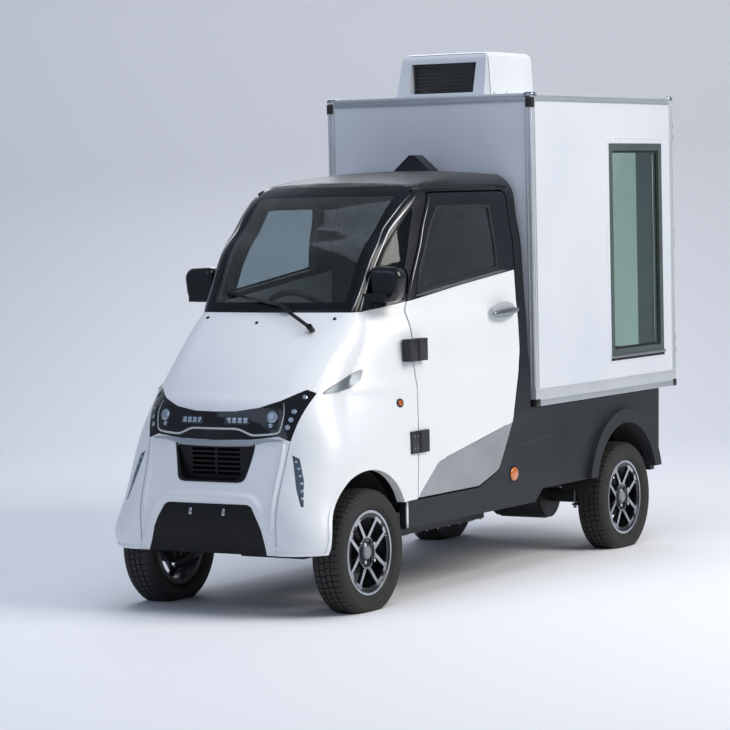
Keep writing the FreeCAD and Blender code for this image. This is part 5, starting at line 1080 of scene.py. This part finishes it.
for side, hand in ((1, "left"), (-1, "right")):
    body = "cab_door_" + hand

    def hand_grip(face):
        """Whether a face belongs to the plain bar that holds the handle's room in the solids."""
        middle = face.calc_center_median()
        behind = (middle.y - NOSE_Y) * 1000
        return (HANDLE_BEHIND[0] - 2 < behind < HANDLE_BEHIND[1] + 2
                and GRIP_HEIGHTS[0] < middle.z * 1000 < GRIP_HEIGHTS[1]
                and all(vertex.co.x * side > GRIP_ROOT for vertex in face.verts)
                and any(vertex.co.x * side > GRIP_FACE for vertex in face.verts))

    def sill_wedge(face):
        """Whether a face of the door is in the grey wedge along its sill."""
        middle = face.calc_center_median()
        return (middle.x * side > DOOR_SKIN_FROM and under_line(middle, WEDGE)
                and under_line(middle, WEDGE_FRONT))

    def hinge_leaf(face):
        """Whether a face belongs to the door's half of a hinge."""
        middle = face.calc_center_median()
        behind = (middle.y - NOSE_Y) * 1000
        return (LEAF_BEHIND[0] < behind < LEAF_BEHIND[1] and middle.x * side > LEAF_FROM
                and any(abs(middle.z * 1000 - height) < LEAF_HALF_HEIGHT for height in LEAF_HEIGHTS))

    dressed("door_" + hand, (white_enamel, grey_film, hinge_cover), "white_paint", without=hand_grip,
            zones=(sill_wedge, hinge_leaf), planes=(line_plane(WEDGE), line_plane(WEDGE_FRONT)), edge=2)
    dressed("door_frame_" + hand, black_enamel, "black_paint")
    dressed("door_glass_" + hand, tinted_glass, "glass", edge=0)
    panel = skin("door_" + hand)
    pane = skin("door_frame_" + hand, "door_glass_" + hand)
    shape = bmesh.new()
    for (start, low), (end, high) in (WEDGE_FRONT, WEDGE):
        shares = [step / WEDGE_STEPS for step in range(1, WEDGE_STEPS)]
        points = [(start + (end - start) * share, low + (high - low) * share) for share in shares]
        ribbon(shape, traced(panel, "side", points, side), 5, 1.6)
    settled(piece_of("sill_line_" + hand, shape, silver_line), body, "bright_trim")
    # the recess in a darker white, painted shade in the scoop behind the handle
    shape = plate(bmesh.new(), seen(panel, "side", (1604, 1217), side), oval(104, 40, 2.2, 40), 1.0, soft=6)
    settled(piece_of("handle_recess_" + hand, shape, recess_shade), body, "white_paint")
    shape = bmesh.new()
    grip = []
    for step in range(HANDLE_STEPS + 1):
        share = step / HANDLE_STEPS
        behind = HANDLE_BEHIND[0] + 8 + share * (HANDLE_BEHIND[1] - HANDLE_BEHIND[0] - 16)
        place, normal = seen(panel, "side", (behind, HANDLE_HEIGHT + HANDLE_RISE * (share - 0.5)), side)
        bulge = math.sin(math.pi * share) ** 0.45
        grip.append((place + normal * (0.003 + 0.011 * bulge), normal, 0.35 + 0.65 * bulge))
    rings = []
    for index, (place, normal, swell) in enumerate(grip):
        before, after = grip[max(index - 1, 0)][0], grip[min(index + 1, len(grip) - 1)][0]
        across = (after - before).cross(normal).normalized()
        rings.append([])
        for k in range(GRIP_SIDES):
            u, v = on_circle(swell, k, GRIP_SIDES)
            rings[-1].append(shape.verts.new(place + across * GRIP_HALF[0] * u + normal * GRIP_HALF[1] * v))
    for low, high in zip(rings, rings[1:]):
        joined(shape, low, high)
    shape.faces.new(rings[0])
    shape.faces.new(rings[-1])
    settled(piece_of("door_handle_" + hand, shape, handle_silver, smooth=60), body, "bright_trim")
    shape = ribbon(bmesh.new(), traced(pane, "side", smooth_line(GLASS_EDGE, 3, True), side), 15, 3.5,
                   closed=True)
    settled(piece_of("pane_gasket_" + hand, shape, glass_rubber), body, "black_plastic")
    shape = ribbon(bmesh.new(), traced(pane, "side", smooth_line(BELT_STRIP), side), 13, 6, taper=True)
    settled(piece_of("belt_strip_" + hand, shape, belt_rubber), body, "black_plastic")
    # a thin silver line down the door frame's front edge: a painted highlight on that edge
    shape = ribbon(bmesh.new(), traced(pane, "side", smooth_line(FRAME_EDGE), side), 4.5, 2.5, taper=True)
    settled(piece_of("frame_line_" + hand, shape, silver_line), body, "bright_trim")
dressed("door_hinges", hinge_cover, "black_paint", edge=3)
HINGE_FACES = (548, 541)
studs("hinge_bolts", [(at(side * out, behind, height + rise), (side, 0, 0)) for side in (-1, 1)
                      for behind in (770, 795) for out, height in zip(HINGE_FACES, LEAF_HEIGHTS)
                      for rise in (-26, 26)], 6, 6, 6, zinc, "steel", "chassis")

# Mirrors and wiper: moulded black mirror shells on feet, each with a silvered glass that faces the driver,
# and one wiper: a painted steel arm and blade on a capped pivot.
gloss_black = finish_of("gloss_black_moulding", "#0B0C0E", "#111215", 0.2, grain=24, depth=0.02,
                        Coat_Weight=0.4, Coat_Roughness=0.04)
mirror_silver = finish_of("silvered_mirror_glass", "#C7CDD2", "#BDC4CA", 0.03, grain=200, depth=0.01,
                          swing=0.01, metallic=1.0)
wiper_black = finish_of("painted_wiper_steel", "#141517", "#1C1E20", 0.4, grain=7, depth=0.06)
dressed("mirrors", gloss_black, "black_plastic")
MIRROR = (480, 1368)
BACKWARDS = Vector((0, 1, 0))
shape = bmesh.new()
for side in (-1, 1):
    plate(shape, (at(side * MIRROR[0], 752, MIRROR[1]), BACKWARDS), oval(62, 62, 4, 36), 1.6, sink=1, soft=2)
settled(piece_of("mirror_glasses", shape, mirror_silver), "chassis", "bright_trim")
shape = bmesh.new()
for side in (-1, 1):
    rim_line = [(at(side * MIRROR[0] + u, 751.5, MIRROR[1] + v), BACKWARDS) for u, v in oval(66, 66, 4, 40)]
    ribbon(shape, rim_line, 7, 4, closed=True)
settled(piece_of("mirror_rims", shape, grained_black), "chassis", "black_plastic")
dressed("wiper", wiper_black, "black_plastic", edge=1)
shape = turned(bmesh.new(), ((0, 0), (0, 13), (10, 13), (13, 9), (14, 0)), at(258, 424, 1199),
               (0, -0.8, 0.6), 24)
settled(piece_of("wiper_pivot_cap", shape, grained_black), "chassis", "black_plastic")

# Cab inside: a rubber mat on the steel floor, a moulded dashboard with a small display, vents and a steering
# wheel with a grained rim. All of it is dark, as the windows show it.
mat_rubber = finish_of("ribbed_rubber_mat", "#1C1D1E", "#262728", 0.72, grain=9, depth=0.5)
dash_grain = finish_of("grained_dashboard_skin", "#1E2023", "#282A2D", 0.62, grain=5, depth=0.3)
wheel_skin = finish_of("grained_wheel_rim_skin", "#17181A", "#212225", 0.5, grain=4, depth=0.2)
display_glass = finish_of("dark_display_glass", "#0A1016", "#101A22", 0.06, grain=40, depth=0.01,
                          Coat_Weight=1.0)
dressed("cab_floor", mat_rubber, "black_plastic", edge=3)
dressed("dashboard", dash_grain, "black_plastic", edge=6)
dressed("steering_wheel", wheel_skin, "black_plastic", edge=3)
bars("mat_ribs", at(0, 770, 461), (0, 0.024, 0), 16, (0.46, 0.008, 0.004), mat_rubber, "black_plastic",
     "chassis", edge=1)
display_spot = (at(0, 664, 1224), Vector((0, 0.62, 0.78)).normalized())
shape = plate(bmesh.new(), display_spot, oval(112, 40, 6, 32), 8, sink=6, soft=3)
settled(piece_of("display", shape, display_glass), "chassis", "lens_black")
for number, x in enumerate((-230, 230)):
    bars(f"vent_slats_{number}", at(x, 702.5, 1108), (0, 0, 0.012), 6, (0.1, 0.008, 0.004), grained_black,
         "black_plastic", "chassis", edge=1)
PEDALS = ((-70, 26), (64, 34))
shape = bmesh.new()
for x, wide in PEDALS:
    plate(shape, (at(x, 572, 560), Vector((0, 0.8, 0.6))), oval(wide, 34, 5, 24), 7, sink=2, soft=2)
settled(piece_of("pedals", shape, seal_rubber), "chassis", "black_plastic")
pipe("pedal_arms", [[at(x, 540, 690), at(x, 552, 640), at(x, 568, 566)] for x, wide in PEDALS], 6,
     wiper_black, "frame_black", "chassis")

# Driver's seat: foam pads in a woven black cover with sewn channels, on a painted steel box. The pads swell
# between their seams, so they are blown up a little by Cloth and drawn in again along each seam.
SEAT_HALF_WIDTH = 238
VOXEL = 0.006
SWELL = 4.0
SWELL_CAP = 0.012
SEAM_DEPTH = 0.006
SEAM_SPREAD = 0.008
PAD_CORNER = 0.016
CLOTH_STEPS = 20
PAD_HALF_WIDTH = SEAT_HALF_WIDTH - 8
HEAD_HALF_WIDTH = 116
BOLSTER = 0.152
HEAD_SEAM = 0.092
CUSHION_SEAMS = (1.25, 1.35, 1.45)
BACKREST_SEAMS = (0.80, 0.90, 1.00, 1.10)
CUSHION = ((1146, 582), (1128, 690), (1164, 728), (1400, 708), (1556, 688), (1600, 660), (1592, 584))
BACKREST = ((1562, 704), (1600, 800), (1706, 1218), (1776, 1206), (1668, 700), (1618, 668))
HEAD_REST = ((1730, 1226), (1728, 1362), (1782, 1362), (1784, 1226))
seat_cover = bpy.data.materials.new("woven_black_seat_cover")
seat_cover.use_nodes = True
seat_cover.diffuse_color = colour("#202124")
tree = seat_cover.node_tree
tree.nodes.clear()
place = add(tree, "ShaderNodeTexCoord").outputs["Object"]
# the real threads lie 0.6 mm apart and are drawn 6 mm apart so that the weave shows at all
WEAVE_SCALE = 1 / (0.006 * 2 * math.pi) * 3.14
lean = add(tree, "ShaderNodeMapping", [("Vector", place), ("Rotation", (math.radians(45), 0, 0))])
warp, weft = [add(tree, "ShaderNodeTexWave", [("Vector", lean.outputs[0]), ("Scale", WEAVE_SCALE)],
                  bands_direction=way) for way in ("X", "Y")]
weave = add(tree, "ShaderNodeMath", [(0, warp.outputs["Fac"]), (1, weft.outputs["Fac"])],
            operation="MULTIPLY")
worn = add(tree, "ShaderNodeTexNoise", [("Vector", place), ("Scale", 9.0), ("Detail", 3.0)])
shade = add(tree, "ShaderNodeMix", [(0, worn.outputs["Fac"]), (6, colour("#1B1C1F")), (7, colour("#2A2B2F"))],
            data_type="RGBA")
relief = add(tree, "ShaderNodeBump", [("Height", weave.outputs[0]), ("Distance", 0.0004)])
cloth_look = add(tree, "ShaderNodeBsdfPrincipled", [("Base Color", shade.outputs[2]), ("Roughness", 0.85),
                                                    ("Sheen Weight", 0.35), ("Normal", relief.outputs[0])])
add(tree, "ShaderNodeOutputMaterial", [("Surface", cloth_look.outputs[0])])


def pad(name, outline, half_width, seams):
    """One stuffed pad from its outline in the side view; each seam gives a place's distance to it."""
    shape = bmesh.new()
    sides = [[shape.verts.new(at(x, behind, height)) for behind, height in outline]
             for x in (-half_width, half_width)]
    shape.faces.new(sides[0])
    shape.faces.new(sides[1])
    joined(shape, *sides)
    bmesh.ops.recalc_face_normals(shape, faces=shape.faces)
    bmesh.ops.bevel(shape, geom=shape.edges[:], offset=PAD_CORNER, segments=3, profile=0.6, affect="EDGES")
    mesh = bpy.data.meshes.new(name + "_blank")
    shape.to_mesh(mesh)
    shape.free()
    piece = show(bpy.data.objects.new(name + "_blank", mesh))
    remesh = piece.modifiers.new("even_cells", "REMESH")
    remesh.mode, remesh.voxel_size = "VOXEL", VOXEL
    bpy.context.view_layer.update()
    even = bpy.data.meshes.new_from_object(piece.evaluated_get(bpy.context.evaluated_depsgraph_get()))
    bpy.data.objects.remove(piece)
    even.name = name
    piece = show(bpy.data.objects.new(name, even))
    still = [vertex.co.copy() for vertex in even.vertices]
    stuffing = piece.modifiers.new("stuffing", "CLOTH")
    stuffing.settings.use_pressure = True
    stuffing.settings.uniform_pressure_force = SWELL
    stuffing.settings.effector_weights.gravity = 0
    for step in range(1, CLOTH_STEPS + 1):
        bpy.context.scene.frame_set(step)
    blown = piece.evaluated_get(bpy.context.evaluated_depsgraph_get())
    moved = [vertex.co.copy() for vertex in blown.data.vertices]
    piece.modifiers.remove(stuffing)
    bpy.context.scene.frame_set(1)
    for vertex, start, end in zip(even.vertices, still, moved):
        way = end - start
        vertex.co = start + way * min(1.0, SWELL_CAP / max(way.length, 1e-9))
    normals = [vertex.normal.copy() for vertex in even.vertices]
    for vertex, normal in zip(even.vertices, normals):
        near = min(abs(seam(vertex.co)) for seam in seams)
        vertex.co -= normal * SEAM_DEPTH * math.exp(-(near / SEAM_SPREAD) ** 2)
    even.materials.append(seat_cover)
    even.shade_smooth()
    settled(piece, "chassis", "seat_cover", "driver_seat")


def between_bolsters(distance):
    """A seam that crosses the middle of a pad and is far away on its bolsters."""
    return lambda place: distance(place) if abs(place.x) < BOLSTER else 1.0


side_seams = [lambda place: abs(place.x) - BOLSTER]
pad("seat_cushion", CUSHION, PAD_HALF_WIDTH, side_seams + [
    between_bolsters(lambda place, seam=seam: place.y - NOSE_Y - seam) for seam in CUSHION_SEAMS])
pad("seat_backrest", BACKREST, PAD_HALF_WIDTH, side_seams + [
    between_bolsters(lambda place, seam=seam: place.z - seam) for seam in BACKREST_SEAMS])
pad("head_rest", HEAD_REST, HEAD_HALF_WIDTH, [lambda place: abs(place.x) - HEAD_SEAM])
shape = bmesh.new()
bmesh.ops.create_cube(shape, size=1.0, matrix=Matrix.Translation(at(0, 1385, 518)) @ Matrix.Diagonal(
    (0.36, 0.39, 0.124, 1)))
bmesh.ops.bevel(shape, geom=shape.edges[:], offset=0.006, segments=3, profile=0.5, affect="EDGES")
settled(piece_of("seat_box", shape, case_black), "chassis", "frame_black", "driver_seat")
pipe("head_rest_posts", [[at(x, 1740, 1196), at(x, 1748, 1216), at(x, 1756, 1240)] for x in (-55, 55)], 6,
     bright_steel, "steel", "chassis")

# Lower side panels: one moulding on each side from the front arch to the tail, in graphite plastic with a
# coarse grain that scatters the light, and the flared rear arch over a fibre liner. The real grain is about
# 1 mm and is drawn at 6 mm so that it shows.
graphite = finish_of("coarse_grained_graphite", "#24272C", "#2C2F34", 0.58, grain=6, depth=0.5, swing=0.06,
                     patch=300, Specular_IOR_Level=0.35)
orange_lens = finish_of("orange_side_lens", "#D9771A", "#BF5F10", 0.16, grain=9, depth=0.15, Coat_Weight=1.0)
dressed("lower_side_panels", graphite, "graphite_plastic", edge=3)
low_flank = skin("lower_side_panels")
SIDE_MARKER = (1681, 477)
ARCH_LIP_END = ((728, 446), (728, 420), (727, 390), (727, 360), (726, 336))
SIDE_CREASE = ((1620, 604), (1760, 612), (1900, 619), (2040, 625), (2160, 629))
shape = bmesh.new()
for side in (-1, 1):
    plate(shape, seen(low_flank, "side", SIDE_MARKER, side), oval(43, 37), 3, soft=2, material=1)
    plate(shape, seen(low_flank, "side", SIDE_MARKER, side), oval(36, 31), 7, soft=8)
settled(piece_of("side_markers", shape, (orange_lens, grained_black)), "chassis", "lens_red")
shape = bmesh.new()
for side in (-1, 1):
    ribbon(shape, traced(low_flank, "side", ARCH_LIP_END, side), 13, 6, taper=True)
settled(piece_of("arch_lip_ends", shape, white_enamel), "chassis", "white_paint")
shape = bmesh.new()
for side in (-1, 1):
    ribbon(shape, traced(low_flank, "side", SIDE_CREASE, side), 22, 5, section=SOFT_SECTION, taper=True)
settled(piece_of("side_creases", shape, graphite), "chassis", "graphite_plastic")
shape = bmesh.new()
for side in (-1, 1):
    liner(shape, side, 372, 528, REAR_AXLE, 323.5, 3, 154)
settled(piece_of("rear_wheel_liners", shape, arch_liner), "chassis", "black_plastic")

# Box floor and bearers: a black welded sub-frame lifts the box over the rails and is bolted through to them.
# The floor is a sandwich panel with a pale scuffed face.
floor_face = finish_of("scuffed_floor_panel", "#9DA2A8", "#84898F", 0.55, grain=16, depth=0.1, swing=0.1,
                       patch=120)
dressed("box_bearers", frame_black, "frame_black")
dressed("box_floor", floor_face, "aluminium")

# Box shell: sandwich panels in white gel coat, held in pale anodised aluminium edge sections whose ribs run
# along each post and rail. Bright cast caps close the upper corners, dark clamps and feet hold the others.
gel_coat = finish_of("white_gel_coat_panel", "#DFE3EA", "#D6DBE3", 0.3, grain=60, depth=0.12, swing=0.05,
                     patch=600)
# extruded and anodised: fine lines along the section, too fine to show, drawn as a soft grain
edge_section = finish_of("anodised_edge_section", "#D2D6DA", "#C6CBCF", 0.4, grain=10, depth=0.04,
                         metallic=0.3, patch=220)
edge_band = finish_of("grey_edge_band", "#AEB4BA", "#A4AAB0", 0.4, grain=10, depth=0.04, metallic=0.3)
cast_cap = finish_of("polished_cast_corner", "#D2D6D9", "#B7BCC0", 0.16, grain=9, depth=0.08, metallic=1.0)
clamp_dark = finish_of("dark_corner_clamp", "#3F3E37", "#2F302D", 0.4, grain=7, depth=0.1, metallic=0.4)
dressed("box_panels", gel_coat, "white_paint", edge=1)
dressed("box_frame", edge_section, "aluminium", edge=3)
BOX_FRONT = 1885
BOX_BACK = 3359
BOX_SIDE = 544
BOX_LOW = 765
BOX_HIGH = 2191
RAIL_HIGH = 843
EDGE = 36
RIB_END = 46
BAND_END = 40
RIVET_PITCH = 120


def blocks(name, spans, finish, slot, body, edge=1.0, segments=2):
    """Rounded bars between opposite corners, each a pair of places left, behind and up in millimetres."""
    shape = bmesh.new()
    for low, high in spans:
        start, end = at(*low), at(*high)
        size = [abs(b - a) for a, b in zip(start, end)]
        single = bmesh.new()
        bmesh.ops.create_cube(single, size=1.0, matrix=Matrix.Translation((start + end) / 2)
                              @ Matrix.Diagonal((*size, 1)))
        bmesh.ops.bevel(single, geom=single.edges[:], offset=min(edge / 1000, min(size) * 0.45),
                        segments=segments, profile=0.5, affect="EDGES")
        part = bpy.data.meshes.new("part")
        single.to_mesh(part)
        single.free()
        shape.from_mesh(part)
        bpy.data.meshes.remove(part)
    return settled(piece_of(name, shape, finish, smooth=30), body, slot)


spans = []
bands = []
BOX_ENDS = ((BOX_FRONT, -1), (BOX_BACK, 1))
POST_LOW = RAIL_HIGH + 4
POST_HIGH = BOX_HIGH - RIB_END
for side in (-1, 1):
    face = side * BOX_SIDE
    for start in (BOX_FRONT, BOX_BACK - EDGE):
        for offset in (7, 24):
            spans.append(((face, start + offset, POST_LOW), (face + side * 3, start + offset + 5, POST_HIGH)))
    for offset in (5, 24):
        for behind, way in BOX_ENDS:
            spans.append(((face - side * (offset + 6), behind, POST_LOW),
                          (face - side * offset, behind + way * 3, POST_HIGH)))
    spans.append(((face, BOX_FRONT + RIB_END, BOX_HIGH - 12),
                  (face + side * 4, BOX_BACK - RIB_END, BOX_HIGH)))
    bands.append(((face - side * 1, BOX_FRONT + BAND_END, BOX_HIGH - EDGE),
                  (face + side * 1.2, BOX_BACK - BAND_END, BOX_HIGH - 14)))
    spans.append(((face, BOX_FRONT + 4, RAIL_HIGH - 12), (face + side * 3, BOX_BACK - 4, RAIL_HIGH - 5)))
    bands.append(((face - side * 1, BOX_FRONT + 4, BOX_LOW + 2),
                  (face + side * 1.2, BOX_BACK - 4, BOX_LOW + 28)))
for behind, way in BOX_ENDS:
    spans.append(((RIB_END - BOX_SIDE, behind + way * 3, BOX_HIGH - 12),
                  (BOX_SIDE - RIB_END, behind, BOX_HIGH)))
    for end, low, high in ((BAND_END, BOX_HIGH - EDGE, BOX_HIGH - 14), (4, BOX_LOW + 2, BOX_LOW + 28)):
        bands.append(((end - BOX_SIDE, behind + way * 1.2, low), (BOX_SIDE - end, behind - way * 1, high)))
blocks("edge_ribs", spans, edge_section, "aluminium", "chassis", edge=1.2)
blocks("edge_bands", bands, edge_band, "aluminium", "chassis", edge=0.4)
caps = [((side * 500, behind - way * 44, BOX_HIGH - 22), (side * 549, behind + way * 4, BOX_HIGH + 5))
        for side in (-1, 1) for behind, way in BOX_ENDS]
blocks("corner_caps", caps, cast_cap, "aluminium", "chassis", edge=11, segments=4)
clamps = [((side * 512, BOX_FRONT - 3.5, BOX_HIGH - 66), (side * 548, BOX_FRONT + 26, BOX_HIGH - 20))
          for side in (-1, 1)]
blocks("corner_clamps", clamps, clamp_dark, "aluminium", "chassis", edge=4)
feet = [((side * 506, behind - way * 38, BOX_LOW - 1), (side * 547, behind + way * 3, BOX_LOW + 34))
        for side in (-1, 1) for behind, way in BOX_ENDS]
blocks("corner_feet", feet, clamp_dark, "aluminium", "chassis", edge=5)
rivet_alloy = finish_of("aluminium_rivet", "#C9CCCE", "#B4B8BA", 0.34, grain=4, depth=0.02, metallic=1.0)
places = []
for side in (-1, 1):
    for behind in range(BOX_FRONT + 90, 3300, RIVET_PITCH):
        places.append((at(side * (BOX_SIDE + 1.4), behind, BOX_HIGH - 24), (side, 0, 0)))
        places.append((at(side * (BOX_SIDE + 0.6), behind, BOX_LOW + 48), (side, 0, 0)))
    for height in range(900, 2130, RIVET_PITCH):
        places.append((at(side * (BOX_SIDE + 0.4), BOX_FRONT + 18, height), (side, 0, 0)))
        places.append((at(side * (BOX_SIDE + 0.4), BOX_BACK - 17, height), (side, 0, 0)))
        places.append((at(side * (BOX_SIDE - 17), BOX_FRONT - 0.4, height), (0, -1, 0)))
studs("box_rivets", places, 3.6, 1.8, 12, rivet_alloy, "aluminium", "chassis", crown=0.5)

# Side windows: a pale green pane in a grey anodised aluminium frame, a pale trim ring around it on the
# panel, a bright sill at its foot with a dark strip under it as its painted shadow, and a slim upright
# glazing bar.
dark_frame = finish_of("grey_anodised_frame", "#66736F", "#5A6764", 0.38, grain=9, depth=0.04, metallic=0.5)
green_glass = finish_of("green_tinted_glass", "#D3E4DA", "#CDDFD5", 0.02, grain=300, depth=0.01, patch=600,
                        swing=0.0, Transmission_Weight=1.0, IOR=1.45)
dressed("box_window_frames", dark_frame, "aluminium", edge=1)
dressed("box_windows", green_glass, "glass", edge=0)
WINDOW_BEHIND = (2661, 3231)
WINDOW_HEIGHTS = (947, 1963)
FRAME_WIDTH = 34
PANEL_FACE = 541
PANE_FACE = 533
GLAZING_BAR = (3146, 3158)


def ring_line(first, second, margin, corner, place, facing):
    """Places round a rectangle with rounded corners, for a ribbon; place turns the view's pair into one."""
    low_u, high_u = first[0] - margin, first[1] + margin
    low_v, high_v = second[0] - margin, second[1] + margin
    made = []
    for u, v, start in ((high_u - corner, high_v - corner, 0), (low_u + corner, high_v - corner, 90),
                        (low_u + corner, low_v + corner, 180), (high_u - corner, low_v + corner, 270)):
        for step in range(7):
            angle = math.radians(start + 15 * step)
            made.append((place(u + corner * math.cos(angle), v + corner * math.sin(angle)), Vector(facing)))
    return made


ring_shape = bmesh.new()
seal_shape = bmesh.new()
sills = []
glazing_bars = []
shadow_strips = []
(near, far), (foot, head) = WINDOW_BEHIND, WINDOW_HEIGHTS
for side in (-1, 1):
    ring = ring_line(WINDOW_BEHIND, WINDOW_HEIGHTS, 26, 22, lambda u, v: at(side * PANEL_FACE, u, v),
                     (side, 0, 0))
    ribbon(ring_shape, ring, 11, 2.4, closed=True)
    seal = ring_line(WINDOW_BEHIND, WINDOW_HEIGHTS, -FRAME_WIDTH - 4, 8,
                     lambda u, v: at(side * PANE_FACE, u, v), (side, 0, 0))
    ribbon(seal_shape, seal, 14, 4, closed=True)
    sills.append(((side * PANEL_FACE, near - 6, foot - 8), (side * 550, far + 6, foot + 5)))
    glazing_bars.append(((side * 518, GLAZING_BAR[0], foot + FRAME_WIDTH),
                         (side * 531, GLAZING_BAR[1], head - FRAME_WIDTH)))
    shadow_strips.append(((side * 540.5, near - 4, foot - 20), (side * 543, far + 4, foot - 9)))
settled(piece_of("window_trim_rings", ring_shape, gel_coat), "chassis", "white_paint")
settled(piece_of("window_seals", seal_shape, glass_rubber), "chassis", "black_plastic")
blocks("window_sills", sills + glazing_bars, silver_line, "bright_trim", "chassis", edge=2)
# dark rubber strips under the sills, standing as their painted shadow
blocks("sill_gaps", shadow_strips, glass_rubber, "black_plastic", "chassis", edge=0.6)

# Rear door: one sandwich leaf in the same gel coat with a bonded window, a rubber seal in its gap, three cast
# hinges on the left post and a stainless pull handle with a lock barrel.
stainless = finish_of("brushed_stainless_steel", "#C2C5C8", "#A8ACB0", 0.3, grain=3, depth=0.03, metallic=1.0)


def hinge_metal(face):
    """Whether a face of the rear door node belongs to a hinge strap, a hinge knuckle or the handle."""
    return face.calc_center_median().y > NOSE_Y + (BOX_BACK + 0.6) / 1000


dressed("rear_door", (gel_coat, stainless), "white_paint", zones=(hinge_metal,), edge=2)
dressed("rear_hinges", stainless, "aluminium", edge=1)
dressed("rear_door_glass", green_glass, "glass", edge=0)
shape = ribbon(bmesh.new(), ring_line((-504.5, 504.5), (846.5, 2151.5), 0, 3,
                                      lambda u, v: at(u, BOX_BACK - 9, v), (0, 1, 0)), 4, 3, closed=True)
settled(piece_of("rear_door_seal", shape, glass_rubber), "chassis", "black_plastic")
shape = ribbon(bmesh.new(), ring_line((-350, 350), WINDOW_HEIGHTS, 0, 14,
                                      lambda u, v: at(u, BOX_BACK, v), (0, 1, 0)), 20, 4, closed=True)
settled(piece_of("rear_pane_seal", shape, glass_rubber), "box_rear_door", "black_plastic")
shape = turned(bmesh.new(), ((0, 0), (0, 13), (4, 12.4), (5, 9), (5, 3), (3, 3), (3, 0)),
               at(-425.5, BOX_BACK, 1130), (0, 1, 0), 28)
settled(piece_of("lock_barrel", shape, stainless), "box_rear_door", "aluminium")
DOOR_HEIGHTS = (843, 2155)
places = []
for share in (0.1, 0.5, 0.9):
    middle = DOOR_HEIGHTS[0] + share * (DOOR_HEIGHTS[1] - DOOR_HEIGHTS[0])
    places += [(at(x, BOX_BACK + 5.4, middle + rise), (0, 1, 0))
               for x in (426, 452, 478) for rise in (-30, 30)]
studs("hinge_screws", places, 4.5, 3, 12, zinc, "steel", "box_rear_door")

# Tail: a black steel bumper bar between the side panels with a bare plate recess, and on each side a lamp in
# three sections: red, amber and clear.
red_lens = finish_of("red_lamp_lens", "#9C1512", "#7E0F0D", 0.12, grain=8, depth=0.25, Coat_Weight=1.0)
white_lens = finish_of("frosted_reversing_lens", "#C9CDCF", "#B5BABD", 0.18, grain=8, depth=0.25,
                       Coat_Weight=1.0)
dressed("rear_bumper", case_black, "frame_black", edge=5)
LAMP_JOINTS = (418, 452)


def amber_part(face):
    """Whether a face of a tail lamp is in its amber section."""
    return LAMP_JOINTS[0] < abs(face.calc_center_median().x) * 1000 <= LAMP_JOINTS[1]


def white_part(face):
    """Whether a face of a tail lamp is in its clear section."""
    return abs(face.calc_center_median().x) * 1000 <= LAMP_JOINTS[0]


dressed("tail_lamps", (red_lens, amber_lens, white_lens), "lens_red", zones=(amber_part, white_part), edge=3,
        planes=[(at(x, 0, 0), (1, 0, 0)) for x in sorted(side * x for side in (-1, 1) for x in LAMP_JOINTS)])
TAIL = 3190
blocks("plate_recess", [((-160, TAIL - 2, 405), (160, TAIL + 2.5, 515)),
                        ((-150, TAIL - 2, 396), (150, TAIL + 7, 404)),
                        ((-150, TAIL - 2, 516), (150, TAIL + 9, 525))],
       grained_black, "black_plastic", "chassis")
studs("rear_plate_screws", [(at(x, TAIL + 3.5, 460), (0, 1, 0)) for x in (-82, 82)], 5, 3, 12, zinc, "steel",
      "chassis")
blocks("rear_reflectors", [((side * 210, TAIL, 385), (side * 290, TAIL + 6, 415)) for side in (-1, 1)],
       red_lens, "lens_red", "chassis", edge=2)

# Roof unit: the cooler's shell in two white mouldings, a front cover and a hood, joined by a dark seam and
# screwed along its foot. The dark grille in its sloped front is punched steel with fine upright slots.
unit_white = finish_of("white_unit_moulding", "#E9EBEE", "#E0E3E7", 0.34, grain=9, depth=0.05, patch=300)
unit_grey = finish_of("pale_grey_unit_cover", "#CFD4DA", "#C4CAD1", 0.36, grain=9, depth=0.05, patch=300)
punched_dark = finish_of("punched_dark_steel", "#2E2D2C", "#3B3936", 0.5, grain=5, depth=0.2, metallic=0.3)
COVER_BACK = 2068


def cover_part(face):
    """Whether a face of the roof unit belongs to its grey front cover."""
    return face.calc_center_median().y < NOSE_Y + COVER_BACK / 1000


dressed("roof_unit", (unit_white, unit_grey), "white_plastic", zones=(cover_part,), edge=2,
        planes=((at(0, COVER_BACK, 0), (0, 1, 0)),))
dressed("roof_unit_grille", punched_dark, "black_plastic", edge=0.6)
unit_skin = skin("roof_unit")
UNIT_SEAM_HEIGHTS = (2196, 2260, 2330, 2370)
UNIT_FOOT_HEIGHT = 2204
rise = [(COVER_BACK, height) for height in UNIT_SEAM_HEIGHTS]
spots = traced(unit_skin, "side", rise)
spots += traced(unit_skin, "top", [(x, COVER_BACK) for x in (205, 120, 0, -120, -205)])
spots += traced(unit_skin, "side", reversed(rise), -1)
settled(piece_of("unit_seam", ribbon(bmesh.new(), spots, 4, 0.8), glass_rubber), "chassis", "black_plastic")
bars("unit_grille_bars", at(-168, 2071, 2278), (0.0105, 0, 0), 33, (0.003, 0.006, 0.126), punched_dark,
     "black_plastic", "chassis", edge=0.5)
places = [seen(unit_skin, "side", (behind, UNIT_FOOT_HEIGHT), side) for side in (-1, 1)
          for behind in (2100, 2220, 2340, 2460)]
studs("unit_screws", places, 5, 2.5, 12, zinc, "white_plastic", "chassis")
blocks("unit_rear_vent", [((-170, 2485, 2240), (170, 2488.5, 2330))], grained_black, "black_plastic",
       "chassis", edge=1.5)
bars("unit_rear_slats", at(0, 2489.5, 2247), (0, 0, 0.0125), 7, (0.33, 0.004, 0.005), unit_grey,
     "white_plastic", "chassis", edge=1)
blocks("unit_foot_seal", [((side * 233, 2008, 2187.5), (side * 239, 2486, 2193)) for side in (-1, 1)],
       glass_rubber, "black_plastic", "chassis", edge=1)
